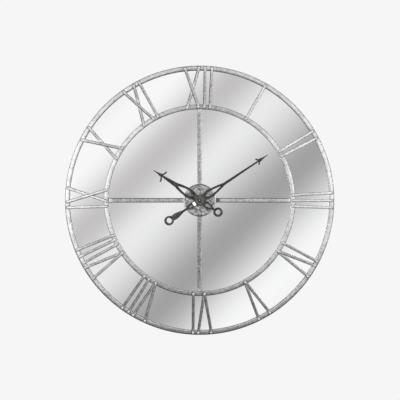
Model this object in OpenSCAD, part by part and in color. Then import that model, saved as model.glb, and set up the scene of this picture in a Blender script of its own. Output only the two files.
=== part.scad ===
// Round wall clock: a welded bar frame with Roman numerals, finished in silver leaf and laid over one
// sheet of mirror glass, driven by a battery quartz movement behind the centre plate.
// The dial faces -Y and +Z is up. The origin is on the hands' axis, half-way between the wall and the
// front of the hand nut. Depths are given as f, the distance forward of the wall. Millimetres, degrees.

/* [Rings] */
// Outside diameter of the outer ring
outer_ring_d = 800; // [700:5:1200]
// Outside diameter of the inner ring
inner_ring_d = 569; // [480:1:620]
// Width of the ring bars across the face
ring_bar_w = 13.5; // [9:0.5:20]
// Thickness of the ring bars and spokes, front to back
ring_bar_t = 8; // [6:0.5:12]
// Chamfer along the front edges of the rings, spokes and numeral bars
bar_chamfer = 1.25; // [0.5:0.25:2]

/* [Spokes and centre plate] */
// Width of a spoke
spoke_w = 13.5; // [6:0.5:20]
// Clear space between the side of the movement and the end of a spoke
spoke_gap = 6; // [2:0.5:10]
// Diameter of the centre plate
plate_d = 97; // [90:1:140]
// Thickness of the centre plate
plate_t = 3; // [2:0.5:5]
// Chamfer on the rim of the centre plate
plate_chamfer = 1; // [0.5:0.25:1.5]

/* [Numerals] */
// Width of a numeral bar
numeral_bar_w = 8.5; // [6:0.5:11]
// Thickness of a numeral bar, front to back
numeral_bar_t = 5; // [3:0.5:8]
// Distance that the bars stop short of the far edges of the rings
numeral_inset = 3; // [1:0.5:5]
// Angle between two neighbouring single strokes
stroke_pitch = 3.2; // [2.8:0.1:3.6]
// Angle between a letter of two strokes and its neighbour, at the outer ring
letter_gap = 2.6; // [2.3:0.1:3]
// Angle between the two ends of a V or an X, at the outer ring
letter_head = 5.5; // [4.5:0.1:6]
// Angle between the two ends of an X, at the inner ring
cross_foot = 7.4; // [6:0.1:8]
// Gap left for the weld where two bars meet
weld_gap = 0.1; // [0.05:0.05:0.3]

/* [Mirror and board] */
// Thickness of the mirror glass
glass_t = 3; // [2:0.5:5]
// Distance from the outside of the outer ring in to the edge of the glass
glass_inset = 8; // [7.5:0.5:9]
// Thickness of the backing board
board_t = 6; // [6:0.5:9]
// Distance from the edge of the glass in to the edge of the board
board_inset = 1; // [0.5:0.5:3]
// Clearance between the corners of the movement and the hole through glass and board
hole_clear = 1.5; // [1:0.25:2]

/* [Clips] */
// Number of clips that hold glass and board to the outer ring
clip_count = 8; // [4:1:16]
// Width of a clip
clip_w = 14; // [8:1:24]
// Thickness of the clip strip
clip_t = 1.5; // [1:0.25:2]
// Distance that a clip's foot reaches in behind the board
clip_reach = 20; // [14:1:30]
// Clearance between the edge of the glass and a clip
clip_gap = 1.5; // [1:0.25:2]

/* [Screws] */
// Diameter of the wood screws' shanks
screw_d = 3; // [2.5:0.1:4]
// Diameter of the wood screws' heads
screw_head_d = 6; // [5:0.25:7]
// Height of the wood screws' heads
screw_head_t = 1.6; // [1:0.1:2]
// Depth that a wood screw goes into the board
screw_bite = 4.5; // [3:0.25:5]
// Clearance around the screws, on the diameter
screw_clear = 0.2; // [0.1:0.05:0.4]

/* [Hanging] */
// Distance from the top of the outer ring down to the hanger plate's middle
hanger_drop = 80; // [70:1:200]
// Width of the hanger plate
hanger_w = 70; // [50:1:100]
// Height of the hanger plate
hanger_h = 36; // [32:1:50]
// Thickness of the hanger plate
hanger_t = 2; // [1.5:0.25:3]
// Diameter of the keyhole's round end
keyhole_d = 10; // [9:0.5:12]
// Width of the keyhole's slot
keyhole_slot_w = 5; // [4:0.25:5]
// Height of the slot's end above the round end
keyhole_rise = 12; // [10:0.5:14]
// Width of the pocket in the board behind the keyhole
pocket_w = 16; // [14:0.5:20]
// Depth of that pocket
pocket_depth = 4; // [3:0.25:5]
// Distance between the two hanger screws
hanger_screw_pitch = 52; // [36:1:60]
// Diameter of a wall bumper
bumper_d = 16; // [10:0.5:30]
// Height of a wall bumper, which is how far the board stands off the wall
bumper_t = 8; // [7:0.5:20]
// Distance from the outside of the outer ring in to the bumpers' middles
bumper_inset = 60; // [50:1:180]
// Number of wall bumpers
bumper_count = 4; // [3:1:8]

/* [Movement case] */
// Width and height of the movement
movement_w = 56; // [56:0.5:58]
// Depth of the movement's case
movement_depth = 18; // [18:0.25:19]
// Wall thickness of the case
case_wall = 1.5; // [1.25:0.05:1.5]
// Corner radius of the case
case_corner_r = 4; // [3:0.25:6]
// Thickness of the back cover
cover_t = 1.5; // [1:0.25:1.5]
// Thickness of the wall between the gears and the battery bay
bay_wall = 1; // [0.8:0.1:1.2]
// Height of the gear side of that wall, measured down from the hands' axis
bay_wall_z = 10.4; // [10.3:0.1:10.6]
// Thickness of the train bridge
bridge_t = 1.8; // [1.5:0.1:2]
// Clearance between the bridge and the case walls
bridge_clear = 0.2; // [0.15:0.05:0.3]
// Radius of the pillars that carry the bridge
pillar_r = 2.2; // [1.8:0.1:2.4]
// Distance of the pillars from the hands' axis, sideways
pillar_x = 23.5; // [23:0.1:24]
// Height of the upper left pillar above the hands' axis
pillar_top_z = 23.5; // [22:0.1:24]
// Height of the right upper pillar above the hands' axis
pillar_side_z = 11; // [10:0.1:11.5]
// Distance of the lower pillars below the hands' axis
pillar_low_z = 7.8; // [7:0.1:8]
// Diameter of the bridge screws
bridge_screw_d = 1.8; // [1.4:0.1:2]
// Diameter of the bridge screws' heads
bridge_screw_head_d = 3.4; // [3:0.1:3.8]
// Height of the bridge screws' heads
bridge_screw_head_t = 1; // [0.6:0.1:1.2]
// Depth that a bridge screw goes into its pillar
bridge_screw_bite = 5; // [3:0.25:6]

/* [Clamping the movement] */
// Diameter of the threaded bushing
bushing_d = 8; // [7.6:0.1:9]
// Thread that shows in front of the bushing nut
bushing_show = 0.4; // [0.2:0.1:0.6]
// Clearance around the bushing, on the diameter
bushing_clear = 0.3; // [0.2:0.05:0.5]
// Clearance in the bushing nut's thread and the hand nut's thread, on the diameter
thread_clear = 0.1; // [0.05:0.05:0.15]
// Diameter of the gasket
gasket_d = 28; // [20:1:40]
// Thickness of the gasket
gasket_t = 1; // [0.5:0.25:1.5]
// Diameter of the washer
washer_d = 15; // [13:0.5:20]
// Thickness of the washer
washer_t = 0.6; // [0.4:0.1:1]
// Width of the bushing nut across its flats
nut_flats = 12; // [11:0.5:14]
// Thickness of the bushing nut
nut_t = 2.4; // [2:0.1:3]

/* [Shafts and pivots] */
// Diameter of the minute arbor
minute_arbor_d = 3; // [2.8:0.1:3.2]
// Wall of the hour tube
hour_tube_wall = 0.95; // [0.8:0.05:1]
// Running clearance on the radius of each shaft
run_clear = 0.05; // [0.03:0.01:0.08]
// Diameter of the small wheels' arbors and pivots
pivot_d = 1; // [0.8:0.05:1.1]
// Depth of the pivot holes in the front of the case
pivot_depth = 0.8; // [0.6:0.05:0.9]
// Play at the ends of an arbor
end_play = 0.1; // [0.05:0.05:0.2]
// Diameter of the setting pinion's shaft
setting_shaft_d = 3; // [2.4:0.1:3.2]
// Diameter of the setting knob
knob_d = 12; // [8:0.5:14]
// Thickness of the setting knob
knob_t = 3; // [2:0.25:3.5]
// Gap between the setting knob and the back cover
knob_gap = 0.8; // [0.4:0.1:1]
// Clearance of a pressed-on part, on the radius
press_clear = 0.02; // [0.01:0.01:0.03]

/* [Gears] */
// Thickness of each wheel and pinion
gear_t = 1; // [0.8:0.05:1.05]
// Gap between one layer of wheels and the next
layer_gap = 0.4; // [0.35:0.05:0.45]
// Gap between the front of the case and the first layer
first_gap = 0.3; // [0.2:0.05:0.4]
// Module of the setting train: minute pinion, motion wheel, setting pinion
setting_module = 0.5; // [0.49:0.005:0.51]
// Module of the centre wheel and third pinion
centre_module = 0.3; // [0.295:0.005:0.305]
// Module of the third wheel and second pinion
third_module = 0.25; // [0.245:0.005:0.255]
// Module of the second wheel and step pinion
second_module = 0.25; // [0.245:0.005:0.255]
// Module of the step wheel and rotor pinion
step_module = 0.2; // [0.195:0.005:0.205]

/* [Motor and circuit] */
// Radius of the rotor magnet
magnet_r = 2.8; // [2:0.1:2.9]
// Length of the rotor magnet
magnet_t = 1.8; // [1.4:0.1:2]
// Air gap around the rotor magnet
air_gap = 0.4; // [0.3:0.05:0.5]
// Width of the stator's rim around the rotor
stator_rim = 1.4; // [1:0.1:1.5]
// Thickness of the stator and of the coil core
stator_t = 1.2; // [1:0.1:1.3]
// Width of the stator's legs
stator_leg_w = 1.5; // [1.2:0.1:1.6]
// Width of the coil core
core_w = 2; // [1.6:0.1:2.2]
// Height of the coil core above the hands' axis
core_z = 23; // [22.9:0.05:23.1]
// Radius of the coil's winding
coil_r = 2.5; // [2.2:0.1:2.6]
// Radius of the bobbin's flanges
bobbin_r = 2.8; // [2.7:0.05:2.9]
// Thickness of the bobbin's flanges
bobbin_flange_t = 0.8; // [0.5:0.1:1]
// Length of the bobbin
bobbin_l = 20; // [16:0.5:21]
// Thickness of the circuit board
circuit_t = 1; // [0.8:0.1:1.2]
// Width of the circuit board
circuit_w = 26; // [20:0.5:28]
// Height of the circuit board
circuit_h = 17; // [14:0.5:18]
// Distance from the hands' axis to the left edge of the circuit board
circuit_left = 16; // [14:0.5:20]
// Radius of the sealed chip on the circuit board
chip_r = 3.5; // [2:0.25:4]
// Height of the sealed chip
chip_t = 0.9; // [0.5:0.1:1.2]
// Diameter of the crystal's can
crystal_d = 2; // [1.6:0.1:2.2]
// Length of the crystal's can
crystal_l = 6; // [5:0.25:8]
// Depth that the crystal's can sits in its slot in the circuit board
crystal_seat = 0.2; // [0.1:0.05:0.4]

/* [Battery] */
// Diameter of the battery cell
cell_d = 14.5; // [14:0.05:14.5]
// Length of the battery cell with its nub
cell_l = 50.5; // [49.5:0.1:51]
// Diameter of the nub
nub_d = 5.4; // [4.5:0.1:5.5]
// Length of the nub
nub_l = 1; // [0.8:0.1:1.2]
// Clearance between the cell and its bay
cell_clear = 0.25; // [0.15:0.05:0.3]
// Thickness of the contact strips
contact_t = 0.4; // [0.3:0.05:0.5]
// Width of the contact strips
contact_w = 9; // [6:0.5:12]
// Radius of the negative contact's spring at the cell
spring_r = 2.5; // [2:0.1:3]

/* [Hands] */
// Angle of the hour hand, clockwise from twelve
hour_angle = 303; // [0:0.5:360]
// Angle of the minute hand, clockwise from twelve
minute_angle = 56.3; // [0:0.1:360]
// Thickness of both hands
hand_t = 1.6; // [1:0.1:2]
// Gap between the bushing nut and the hour hand
hour_gap = 1; // [0.8:0.1:2]
// Gap between the two hands
hands_gap = 1.9; // [1.2:0.1:3]
// Length of the hour tube that shows in front of the hour hand
tube_show = 0.3; // [0.1:0.1:0.6]
// Diameter of the hand nut
hand_nut_d = 7; // [6:0.25:9]
// Width of both hands at the tip
hand_tip_w = 2; // [1:0.25:3]
// Height of the hand nut
hand_nut_t = 4; // [3:0.25:5]
// Thickness of the hand nut's closed front
hand_nut_cap = 0.8; // [0.5:0.1:1]

/* [Hour hand] */
// Length from the axis to the tip
hour_tip = 163; // [150:1:180]
// Distance from the axis to the root of the arrow head
hour_root = 137; // [125:1:145]
// Half the spread of the barbs
hour_barb = 17.5; // [10:0.5:22]
// Distance that the barbs fall back from the root
hour_barb_fall = 8; // [4:0.5:12]
// Width of the barbs
hour_barb_w = 3.5; // [3:0.25:5]
// Width of the arrow head at its root
hour_head_w = 10; // [7:0.5:13]
// Width of the shaft at the eye
hour_shaft_w0 = 15; // [9:0.5:17]
// Width of the shaft at the arrow head
hour_shaft_w1 = 6; // [4:0.25:8]
// Distance from the axis to the far end of the eye's outline
hour_eye_end = 105; // [96:1:115]
// Distance from the axis to the far end of the eye's hole
hour_eye_top = 78; // [70:1:84]
// Width of the eye
hour_eye_w = 27.2; // [24:0.2:34]
// Distance from the axis to the widest part of the eye
hour_eye_peak = 44; // [38:0.5:50]
// Width of the band around the eye
hour_eye_band = 6.5; // [5:0.5:8]
// Radius of the hub
hour_hub_r = 16; // [13:0.5:18]
// Distance from the axis to the far end of the tail's eye
hour_tail_end = 52; // [48:0.5:56]
// Distance from the axis to the widest part of the tail's eye
hour_tail_peak = 25; // [20:0.5:34]
// Width of the tail's eye
hour_tail_w = 19; // [14:0.5:24]
// Width of the band around the tail's eye
hour_tail_band = 4.5; // [3.5:0.25:6]
// Band left between the hub and the hole in the tail
hour_hub_band = 2; // [1:0.25:6]
// Width of the neck between the tail's eye and its ring
hour_neck_w = 6.5; // [4:0.25:9]
// Distance from the axis to the middle of the tail's ring
hour_ring_at = 65; // [62:0.5:72]
// Outside radius of the tail's ring
hour_ring_r = 14; // [12:0.2:17]
// Width of the tail's ring
hour_ring_w = 6.6; // [4:0.2:8]

/* [Minute hand] */
// Length from the axis to the tip
minute_tip = 242; // [225:1:260]
// Distance from the axis to the root of the arrow head
minute_root = 217; // [205:1:222]
// Half the spread of the barbs
minute_barb = 10; // [6:0.5:14]
// Distance that the barbs fall back from the root
minute_barb_fall = 10; // [5:0.5:14]
// Width of the barbs
minute_barb_w = 3; // [2.5:0.25:4.5]
// Width of the arrow head at its root
minute_head_w = 9; // [6:0.5:12]
// Width of the shaft at the eye
minute_shaft_w0 = 8.5; // [6:0.5:12]
// Width of the shaft at the arrow head
minute_shaft_w1 = 4.5; // [3.5:0.25:6]
// Distance from the axis to the far end of the eye's outline
minute_eye_end = 104; // [94:1:115]
// Distance from the axis to the far end of the eye's hole
minute_eye_top = 77; // [70:1:84]
// Width of the eye
minute_eye_w = 23.4; // [20:0.2:30]
// Distance from the axis to the widest part of the eye
minute_eye_peak = 37; // [34:0.5:50]
// Width of the band around the eye
minute_eye_band = 5.6; // [4.6:0.2:7]
// Radius of the hub
minute_hub_r = 14; // [12:0.5:16]
// Distance from the axis to the far end of the tail's eye
minute_tail_end = 50; // [46:0.5:54]
// Distance from the axis to the widest part of the tail's eye
minute_tail_peak = 24; // [20:0.5:32]
// Width of the tail's eye
minute_tail_w = 16.5; // [14:0.5:20]
// Width of the band around the tail's eye
minute_tail_band = 4.25; // [3:0.25:5]
// Band left between the hub and the hole in the tail
minute_hub_band = 9; // [2:0.5:12]
// Distance from the axis to the far end of the leaf
minute_leaf_end = 101; // [92:1:108]
// Width of the leaf
minute_leaf_w = 18; // [12:0.5:22]
// Width of the neck between the tail's eye and the leaf
minute_neck_w = 6.75; // [4:0.25:9]
// Distance from the axis to the middle of the tail's ring
minute_ring_at = 109; // [104:1:118]
// Outside radius of the tail's ring
minute_ring_r = 14; // [11:0.2:17]
// Width of the tail's ring
minute_ring_w = 5.8; // [4:0.2:8]

/* [Hidden] */
$fn = 96;
ring_fn = 240;
// Overrun of a cut past the face that it opens
over = 1;

// Depth stack, forward of the wall
board_back = bumper_t;
glass_back = board_back + board_t;
ring_back = glass_back + glass_t;
ring_front = ring_back + ring_bar_t;
plate_front = ring_front + plate_t;
case_front = ring_front - gasket_t;
case_back = case_front - movement_depth;
cover_front = case_back + cover_t;
floor_f = case_front - case_wall;
washer_front = plate_front + washer_t;
nut_front = washer_front + nut_t;
bushing_front = nut_front + bushing_show;
hour_back = nut_front + hour_gap;
hour_front = hour_back + hand_t;
minute_back = hour_front + hands_gap;
minute_front = minute_back + hand_t;
depth = minute_front + hand_nut_t;
wall_y = depth / 2;

// Radii seen from the front
outer_r = outer_ring_d / 2;
inner_r = inner_ring_d / 2;
numeral_out_r = outer_r - numeral_inset;
numeral_in_r = inner_r - ring_bar_w + numeral_inset;
glass_r = outer_r - glass_inset;
board_r = glass_r - board_inset;
spoke_in_r = movement_w / 2 + spoke_gap;
spoke_out_r = sqrt(pow(inner_r - ring_bar_w, 2) - pow(spoke_w / 2, 2)) - weld_gap;
case_reach = (movement_w / 2 - case_corner_r) * sqrt(2) + case_corner_r;
hole_r = case_reach + hole_clear;
clip_leg_r = glass_r + clip_gap;
clip_screw_r = board_r - clip_reach / 2;
hanger_z = outer_r - hanger_drop;
keyhole_z = hanger_z - keyhole_rise / 2;
bumper_r = outer_r - bumper_inset;

// Numerals, from twelve o'clock on, read clockwise with their feet to the centre
LETTERS = ["XII", "I", "II", "III", "IV", "V", "VI", "VII", "VIII", "IX", "X", "XI"];
// Small angles by which the hand-laid frame has each stroke off its even place, clockwise: its foot on the
// inner ring, then its head on the outer ring
LAID_OFF = [[[-1.2, -0.8], [-1.4, 0], [-0.5, -0.1], [-0.2, -0.4]],
            [[-0.4, -0.2]],
            [[0.1, 0.2], [0.1, 0.4]],
            [[0, 0], [0.2, 0.1], [0.5, 0]],
            [[1.2, 1.6], [1.9, 0.9], [1.9, 1.1]],
            [[1, 0.7], [1, 0.8]],
            [[-1.6, -1], [-1.6, -0.8], [-0.2, -1.2]],
            [[1, 0], [1, 0.2], [0.2, 0], [0.4, 0]],
            [[0.3, 0.9], [0.3, 1.3], [1, 0.8], [0.9, 0.7], [0.6, 0.7]],
            [[1.2, 0.9], [1.7, 0.6], [1.6, 1.4]],
            [[0.4, -0.3], [-0.1, 0.6]],
            [[-1.7, -1.2], [-2, -1.1], [-1.5, -1.3]]];

// Shafts, from the minute arbor outwards
arbor_r = minute_arbor_d / 2;
tube_in_r = arbor_r + run_clear;
tube_r = tube_in_r + hour_tube_wall;
bushing_in_r = tube_r + run_clear;
bushing_r = bushing_d / 2;
pivot_r = pivot_d / 2;
shaft_r = setting_shaft_d / 2;

// Teeth of the trains
minute_pinion_z = 12;
motion_wheel_z = 36;
motion_pinion_z = 12;
hour_wheel_z = 48;
setting_pinion_z = 12;
centre_wheel_z = 64;
third_pinion_z = 8;
third_wheel_z = 60;
second_pinion_z = 8;
second_wheel_z = 40;
step_pinion_z = 8;
step_wheel_z = 48;
rotor_pinion_z = 8;
// Tooth form: heights in modules, half widths in quarters of the tooth pitch
tooth_add = 0.8;
tooth_ded = 1.15;
tooth_tip = 0.42;
tooth_root = 1.18;

// Directions from each axis to the next, and the axes that follow, as [x, z]
motion_dir = 30;
setting_dir = 60;
third_dir = 160;
second_dir = 120;
step_dir = 60;
rotor_dir = 20;
function spread(za, zb, m) = (za + zb) * m / 2;
function polar(r, a) = [r * cos(a), r * sin(a)];
centre_at = [0, 0];
motion_at = polar(spread(minute_pinion_z, motion_wheel_z, setting_module), motion_dir);
setting_at = motion_at + polar(spread(motion_wheel_z, setting_pinion_z, setting_module), setting_dir);
third_at = polar(spread(centre_wheel_z, third_pinion_z, centre_module), third_dir);
second_at = third_at + polar(spread(third_wheel_z, second_pinion_z, third_module), second_dir);
step_at = second_at + polar(spread(second_wheel_z, step_pinion_z, second_module), step_dir);
rotor_at = step_at + polar(spread(step_wheel_z, rotor_pinion_z, step_module), rotor_dir);
// The hour train runs between the same two axes as the setting train, which sets its module
hour_module = 2 * norm(motion_at) / (motion_pinion_z + hour_wheel_z);

// Tooth angles that put each pair in mesh: a tooth of one stands in a gap of the other
function in_mesh(za, pa, dir, zb) = dir + 180 + 180 / zb - (pa - dir) * za / zb;
centre_phase = 0;
motion_phase = in_mesh(minute_pinion_z, centre_phase, motion_dir, motion_wheel_z);
setting_phase = in_mesh(motion_wheel_z, motion_phase, setting_dir, setting_pinion_z);
hour_phase = in_mesh(motion_pinion_z, motion_phase, motion_dir + 180, hour_wheel_z);
third_phase = in_mesh(centre_wheel_z, centre_phase, third_dir, third_pinion_z);
second_phase = in_mesh(third_wheel_z, third_phase, second_dir, second_pinion_z);
step_phase = in_mesh(second_wheel_z, second_phase, step_dir, step_pinion_z);
rotor_phase = in_mesh(step_wheel_z, step_phase, rotor_dir, rotor_pinion_z);

// Layers of wheels, counted back from the front of the case
function layer(n) = floor_f - first_gap - gear_t - n * (gear_t + layer_gap);
bridge_front = layer(5) - layer_gap;
bridge_back = bridge_front - bridge_t;
pivot_front = floor_f + pivot_depth - end_play;
pivot_back = bridge_back + end_play;
pillars = [[-pillar_x, pillar_top_z], [pillar_x, pillar_side_z],
           [-pillar_x, -pillar_low_z], [pillar_x, -pillar_low_z]];
pivots = [motion_at, setting_at, third_at, second_at, step_at, rotor_at];

// Motor: the stator lies behind the core, and the core's ends rest on bosses of the case
inside_w = movement_w - 2 * case_wall;
stator_back = layer(3) - layer_gap;
stator_front = stator_back + stator_t;
core_front = stator_front + stator_t;
core_left = rotor_at[0] - stator_leg_w;
core_right = pillar_x + stator_leg_w / 2;
stator_hole_r = magnet_r + air_gap;
stator_r = stator_hole_r + stator_rim;
leg_z = core_z - bobbin_r - stator_leg_w - air_gap;
magnet_back = stator_back + (stator_t - magnet_t) / 2;
bobbin_x = core_left + (core_right - core_left - bobbin_l) / 2;

// Battery bay
cell_r = cell_d / 2;
bay_top = -bay_wall_z - bay_wall;
cell_z = bay_top - cell_clear - cell_r;
cell_f = (cover_front + floor_f) / 2;
cell_right = inside_w / 2 - contact_t;
cell_left = cell_right - cell_l;

// A slab from depth f0 to f1, of a shape drawn as it is seen from the front
module slab(f0, f1) {
    translate([0, wall_y - f0, 0])
        rotate([90, 0, 0])
            linear_extrude(f1 - f0)
                children();
}

// A round rod along the depth, at [x, z]
module rod(at, r, f0, f1) {
    slab(f0, f1)
        translate(at)
            circle(r);
}

// A body of revolution about the hands' axis, from its profile as [radius, f]
module turned(profile) {
    translate([0, wall_y, 0])
        rotate([90, 0, 0])
            rotate_extrude($fn = ring_fn)
                polygon(profile);
}

// A straight bar from p to q, each [x, z], whose back lies at depth f
module bar(p, q, w, t, f) {
    run = q - p;
    translate([p[0], wall_y - f, p[1]])
        rotate([0, atan2(run[0], run[1]), 0])
            linear_extrude(norm(run))
                polygon([[-w / 2, 0], [w / 2, 0], [w / 2, bar_chamfer - t], [w / 2 - bar_chamfer, -t],
                         [bar_chamfer - w / 2, -t], [-w / 2, bar_chamfer - t]]);
}

// A rectangle with round corners, between two corners
module rounded(p, q, r) {
    translate([p[0] + r, p[1]])
        square([q[0] - p[0] - 2 * r, q[1] - p[1]]);
    translate([p[0], p[1] + r])
        square([q[0] - p[0], q[1] - p[1] - 2 * r]);
    for (x = [p[0] + r, q[0] - r], z = [p[1] + r, q[1] - r])
        translate([x, z])
            circle(r);
}

// The same, centred, with equal sides
module rounded_square(w, r) {
    rounded([-w / 2, -w / 2], [w / 2, w / 2], r);
}

// Outline of a gear with straight-sided teeth, one tooth at the given angle
module gear(z, m, phase) {
    pitch_r = z * m / 2;
    quarter = 90 / z;
    form = [[pitch_r - tooth_ded * m, -tooth_root], [pitch_r + tooth_add * m, -tooth_tip],
            [pitch_r + tooth_add * m, tooth_tip], [pitch_r - tooth_ded * m, tooth_root]];
    polygon([for (i = [0 : z - 1], c = form) polar(c[0], phase + i * 360 / z + c[1] * quarter)]);
}

// A gear in one layer of the train
module train_gear(at, z, m, phase, n) {
    slab(layer(n), layer(n) + gear_t)
        translate(at)
            gear(z, m, phase);
}

// A wood screw in the board, its head behind something of the given thickness
module board_screw(at, under) {
    seat = board_back - under;
    rod(at, screw_d / 2, seat, board_back + screw_bite);
    rod(at, screw_head_d / 2, seat - screw_head_t, seat);
}

// Frame

module ring(r) {
    c = bar_chamfer;
    color("silver")
        turned([[r - ring_bar_w, ring_back], [r, ring_back], [r, ring_front - c], [r - c, ring_front],
                [r - ring_bar_w + c, ring_front], [r - ring_bar_w, ring_front - c]]);
}

module outer_ring() {
    ring(outer_r);
}

module inner_ring() {
    ring(inner_r);
}

// A point at radius r, at an angle clockwise from twelve, as [x, z]
function dial(r, a) = [r * sin(a), r * cos(a)];

module stroke(a_out, a_in) {
    bar(dial(numeral_in_r, a_in), dial(numeral_out_r, a_out), numeral_bar_w, numeral_bar_t, ring_front);
}

// The room that a stroke takes from the one that is cut to meet it
module stroke_room(a_out, a_in) {
    p = dial(numeral_in_r, a_in);
    run = dial(numeral_out_r, a_out) - p;
    room_w = numeral_bar_w + 2 * weld_gap;
    slab(ring_back, depth)
        translate(p)
            rotate(-atan2(run[0], run[1]))
                translate([-room_w / 2, -outer_r])
                    square([room_w, 2 * outer_r]);
}

// A letter whose strokes start at angle head on the outer ring and at angle foot on the inner ring, each
// laid off by its own angles, the first of which is number n
module letter(c, head, foot, off, n) {
    apex = head + letter_head / 2;
    first_foot = (c == "X" ? foot + cross_foot : c == "V" ? apex : foot) + off[n][0];
    first_head = head + off[n][1];
    stroke(first_head, first_foot);
    if (c != "I")
        difference() {
            stroke(head + letter_head + off[n + 1][1], (c == "X" ? foot : apex) + off[n + 1][0]);
            stroke_room(first_head, first_foot);
        }
}

// Angles taken by a letter, by the gap after it and by the letters before number i, where an X spans cross
function letter_w(c, cross) = c == "I" ? 0 : c == "X" ? cross : letter_head;
function gap_after(c, next) = c == "I" && next == "I" ? stroke_pitch : letter_gap;
function letter_at(s, i, cross) =
    i == 0 ? 0 : letter_at(s, i - 1, cross) + letter_w(s[i - 1], cross) + gap_after(s[i - 1], s[i]);
function numeral_w(s, cross) = letter_at(s, len(s) - 1, cross) + letter_w(s[len(s) - 1], cross);
// Number of strokes in the letters before number i
function strokes_before(s, i) = i == 0 ? 0 : strokes_before(s, i - 1) + (s[i - 1] == "I" ? 1 : 2);

module numeral(hour) {
    s = LETTERS[hour % 12];
    off = LAID_OFF[hour % 12];
    head = 30 * hour - numeral_w(s, letter_head) / 2;
    foot = 30 * hour - numeral_w(s, cross_foot) / 2;
    color("gainsboro")
        for (i = [0 : len(s) - 1])
            letter(s[i], head + letter_at(s, i, letter_head), foot + letter_at(s, i, cross_foot), off,
                   strokes_before(s, i));
}

module spoke(hour) {
    color("silver")
        bar(dial(spoke_in_r, 30 * hour), dial(spoke_out_r, 30 * hour), spoke_w, ring_bar_t, ring_back);
}

module centre_plate() {
    r = plate_d / 2;
    hole = (bushing_d + bushing_clear) / 2;
    color("gainsboro")
        turned([[hole, ring_front], [r, ring_front], [r, plate_front - plate_chamfer],
                [r - plate_chamfer, plate_front], [hole, plate_front]]);
}

// Mirror, board and what holds them

module mirror_glass() {
    color("lightsteelblue")
        slab(glass_back, ring_back)
            difference() {
                circle(glass_r);
                circle(hole_r);
            }
}

function clip_angles() = [for (i = [0 : clip_count - 1]) (i + 0.5) * 360 / clip_count];
function hanger_screws_at() = [for (side = [-1, 1]) [side * hanger_screw_pitch / 2, hanger_z]];
function clip_screws_at() = [for (a = clip_angles()) dial(clip_screw_r, a)];

module backing_board() {
    pilot_r = (screw_d + screw_clear) / 2;
    pocket_h = keyhole_rise + keyhole_d + keyhole_slot_w;
    color("saddlebrown")
        difference() {
            slab(board_back, glass_back)
                circle(board_r);
            slab(board_back - over, glass_back + over)
                circle(hole_r);
            slab(board_back - over, board_back + pocket_depth)
                translate([-pocket_w / 2, hanger_z - pocket_h / 2])
                    square([pocket_w, pocket_h]);
            for (at = concat(clip_screws_at(), hanger_screws_at()))
                rod(at, pilot_r, board_back - over, board_back + screw_bite + screw_clear);
        }
}

module board_clips() {
    foot_back = board_back - clip_t;
    color("dimgray")
        for (a = clip_angles())
            rotate([0, a, 0])
                difference() {
                    union() {
                        slab(foot_back, ring_back)
                            translate([-clip_w / 2, clip_leg_r])
                                square([clip_w, clip_t]);
                        slab(foot_back, board_back)
                            translate([-clip_w / 2, board_r - clip_reach])
                                square([clip_w, clip_leg_r + clip_t - board_r + clip_reach]);
                    }
                    rod([0, clip_screw_r], (screw_d + screw_clear) / 2, foot_back - over, board_back + over);
                }
}

module clip_screws() {
    color("lightgray")
        for (at = clip_screws_at())
            board_screw(at, clip_t);
}

module hanger_plate() {
    color("lightgray")
        slab(board_back - hanger_t, board_back)
            difference() {
                translate([-hanger_w / 2, hanger_z - hanger_h / 2])
                    square([hanger_w, hanger_h]);
                translate([0, keyhole_z])
                    circle(keyhole_d / 2);
                translate([-keyhole_slot_w / 2, keyhole_z])
                    square([keyhole_slot_w, keyhole_rise]);
                translate([0, keyhole_z + keyhole_rise])
                    circle(keyhole_slot_w / 2);
                for (at = hanger_screws_at())
                    translate(at)
                        circle((screw_d + screw_clear) / 2);
            }
}

module hanger_screws() {
    color("lightgray")
        for (at = hanger_screws_at())
            board_screw(at, hanger_t);
}

module wall_bumpers() {
    color("black")
        for (i = [0 : bumper_count - 1])
            rod(dial(bumper_r, (i + 0.5) * 360 / bumper_count), bumper_d / 2, 0, board_back);
}

// Movement case

module movement_base() {
    inner_corner = case_corner_r - case_wall;
    boss_r = core_w / 2;
    color("dimgray")
        difference() {
            union() {
                difference() {
                    slab(cover_front, case_front)
                        rounded_square(movement_w, case_corner_r);
                    slab(cover_front - over, floor_f)
                        rounded_square(inside_w, inner_corner);
                }
                slab(cover_front, floor_f)
                    translate([-inside_w / 2, bay_top])
                        square([inside_w, bay_wall]);
                for (at = pillars)
                    rod(at, pillar_r, bridge_front, floor_f);
                for (x = [core_left + boss_r, core_right - boss_r])
                    rod([x, core_z], boss_r, core_front, floor_f);
                rod(centre_at, bushing_r, floor_f, bushing_front);
            }
            rod(centre_at, bushing_in_r, floor_f - over, bushing_front + over);
            for (at = pivots)
                rod(at, pivot_r + run_clear, floor_f - over, floor_f + pivot_depth);
            for (at = pillars)
                rod(at, bridge_screw_d / 2 + run_clear, bridge_front - over,
                    bridge_front + bridge_screw_bite + end_play);
        }
}

module movement_cover() {
    half = inside_w / 2;
    color("dimgray")
        slab(case_back, cover_front)
            difference() {
                rounded_square(movement_w, case_corner_r);
                translate([-half, cell_z - cell_r - cell_clear])
                    square([inside_w, cell_d + 2 * cell_clear]);
                translate(setting_at)
                    circle(shaft_r + air_gap);
            }
}

module train_bridge() {
    half = inside_w / 2 - bridge_clear;
    color("white")
        slab(bridge_back, bridge_front)
            difference() {
                rounded([-half, bridge_clear - bay_wall_z], [half, half], case_corner_r - case_wall);
                for (at = [motion_at, third_at, second_at, step_at, rotor_at, centre_at])
                    translate(at)
                        circle(pivot_r + run_clear);
                translate(setting_at)
                    circle(shaft_r + run_clear);
                for (at = pillars)
                    translate(at)
                        circle(bridge_screw_d / 2 + run_clear);
            }
}

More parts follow.
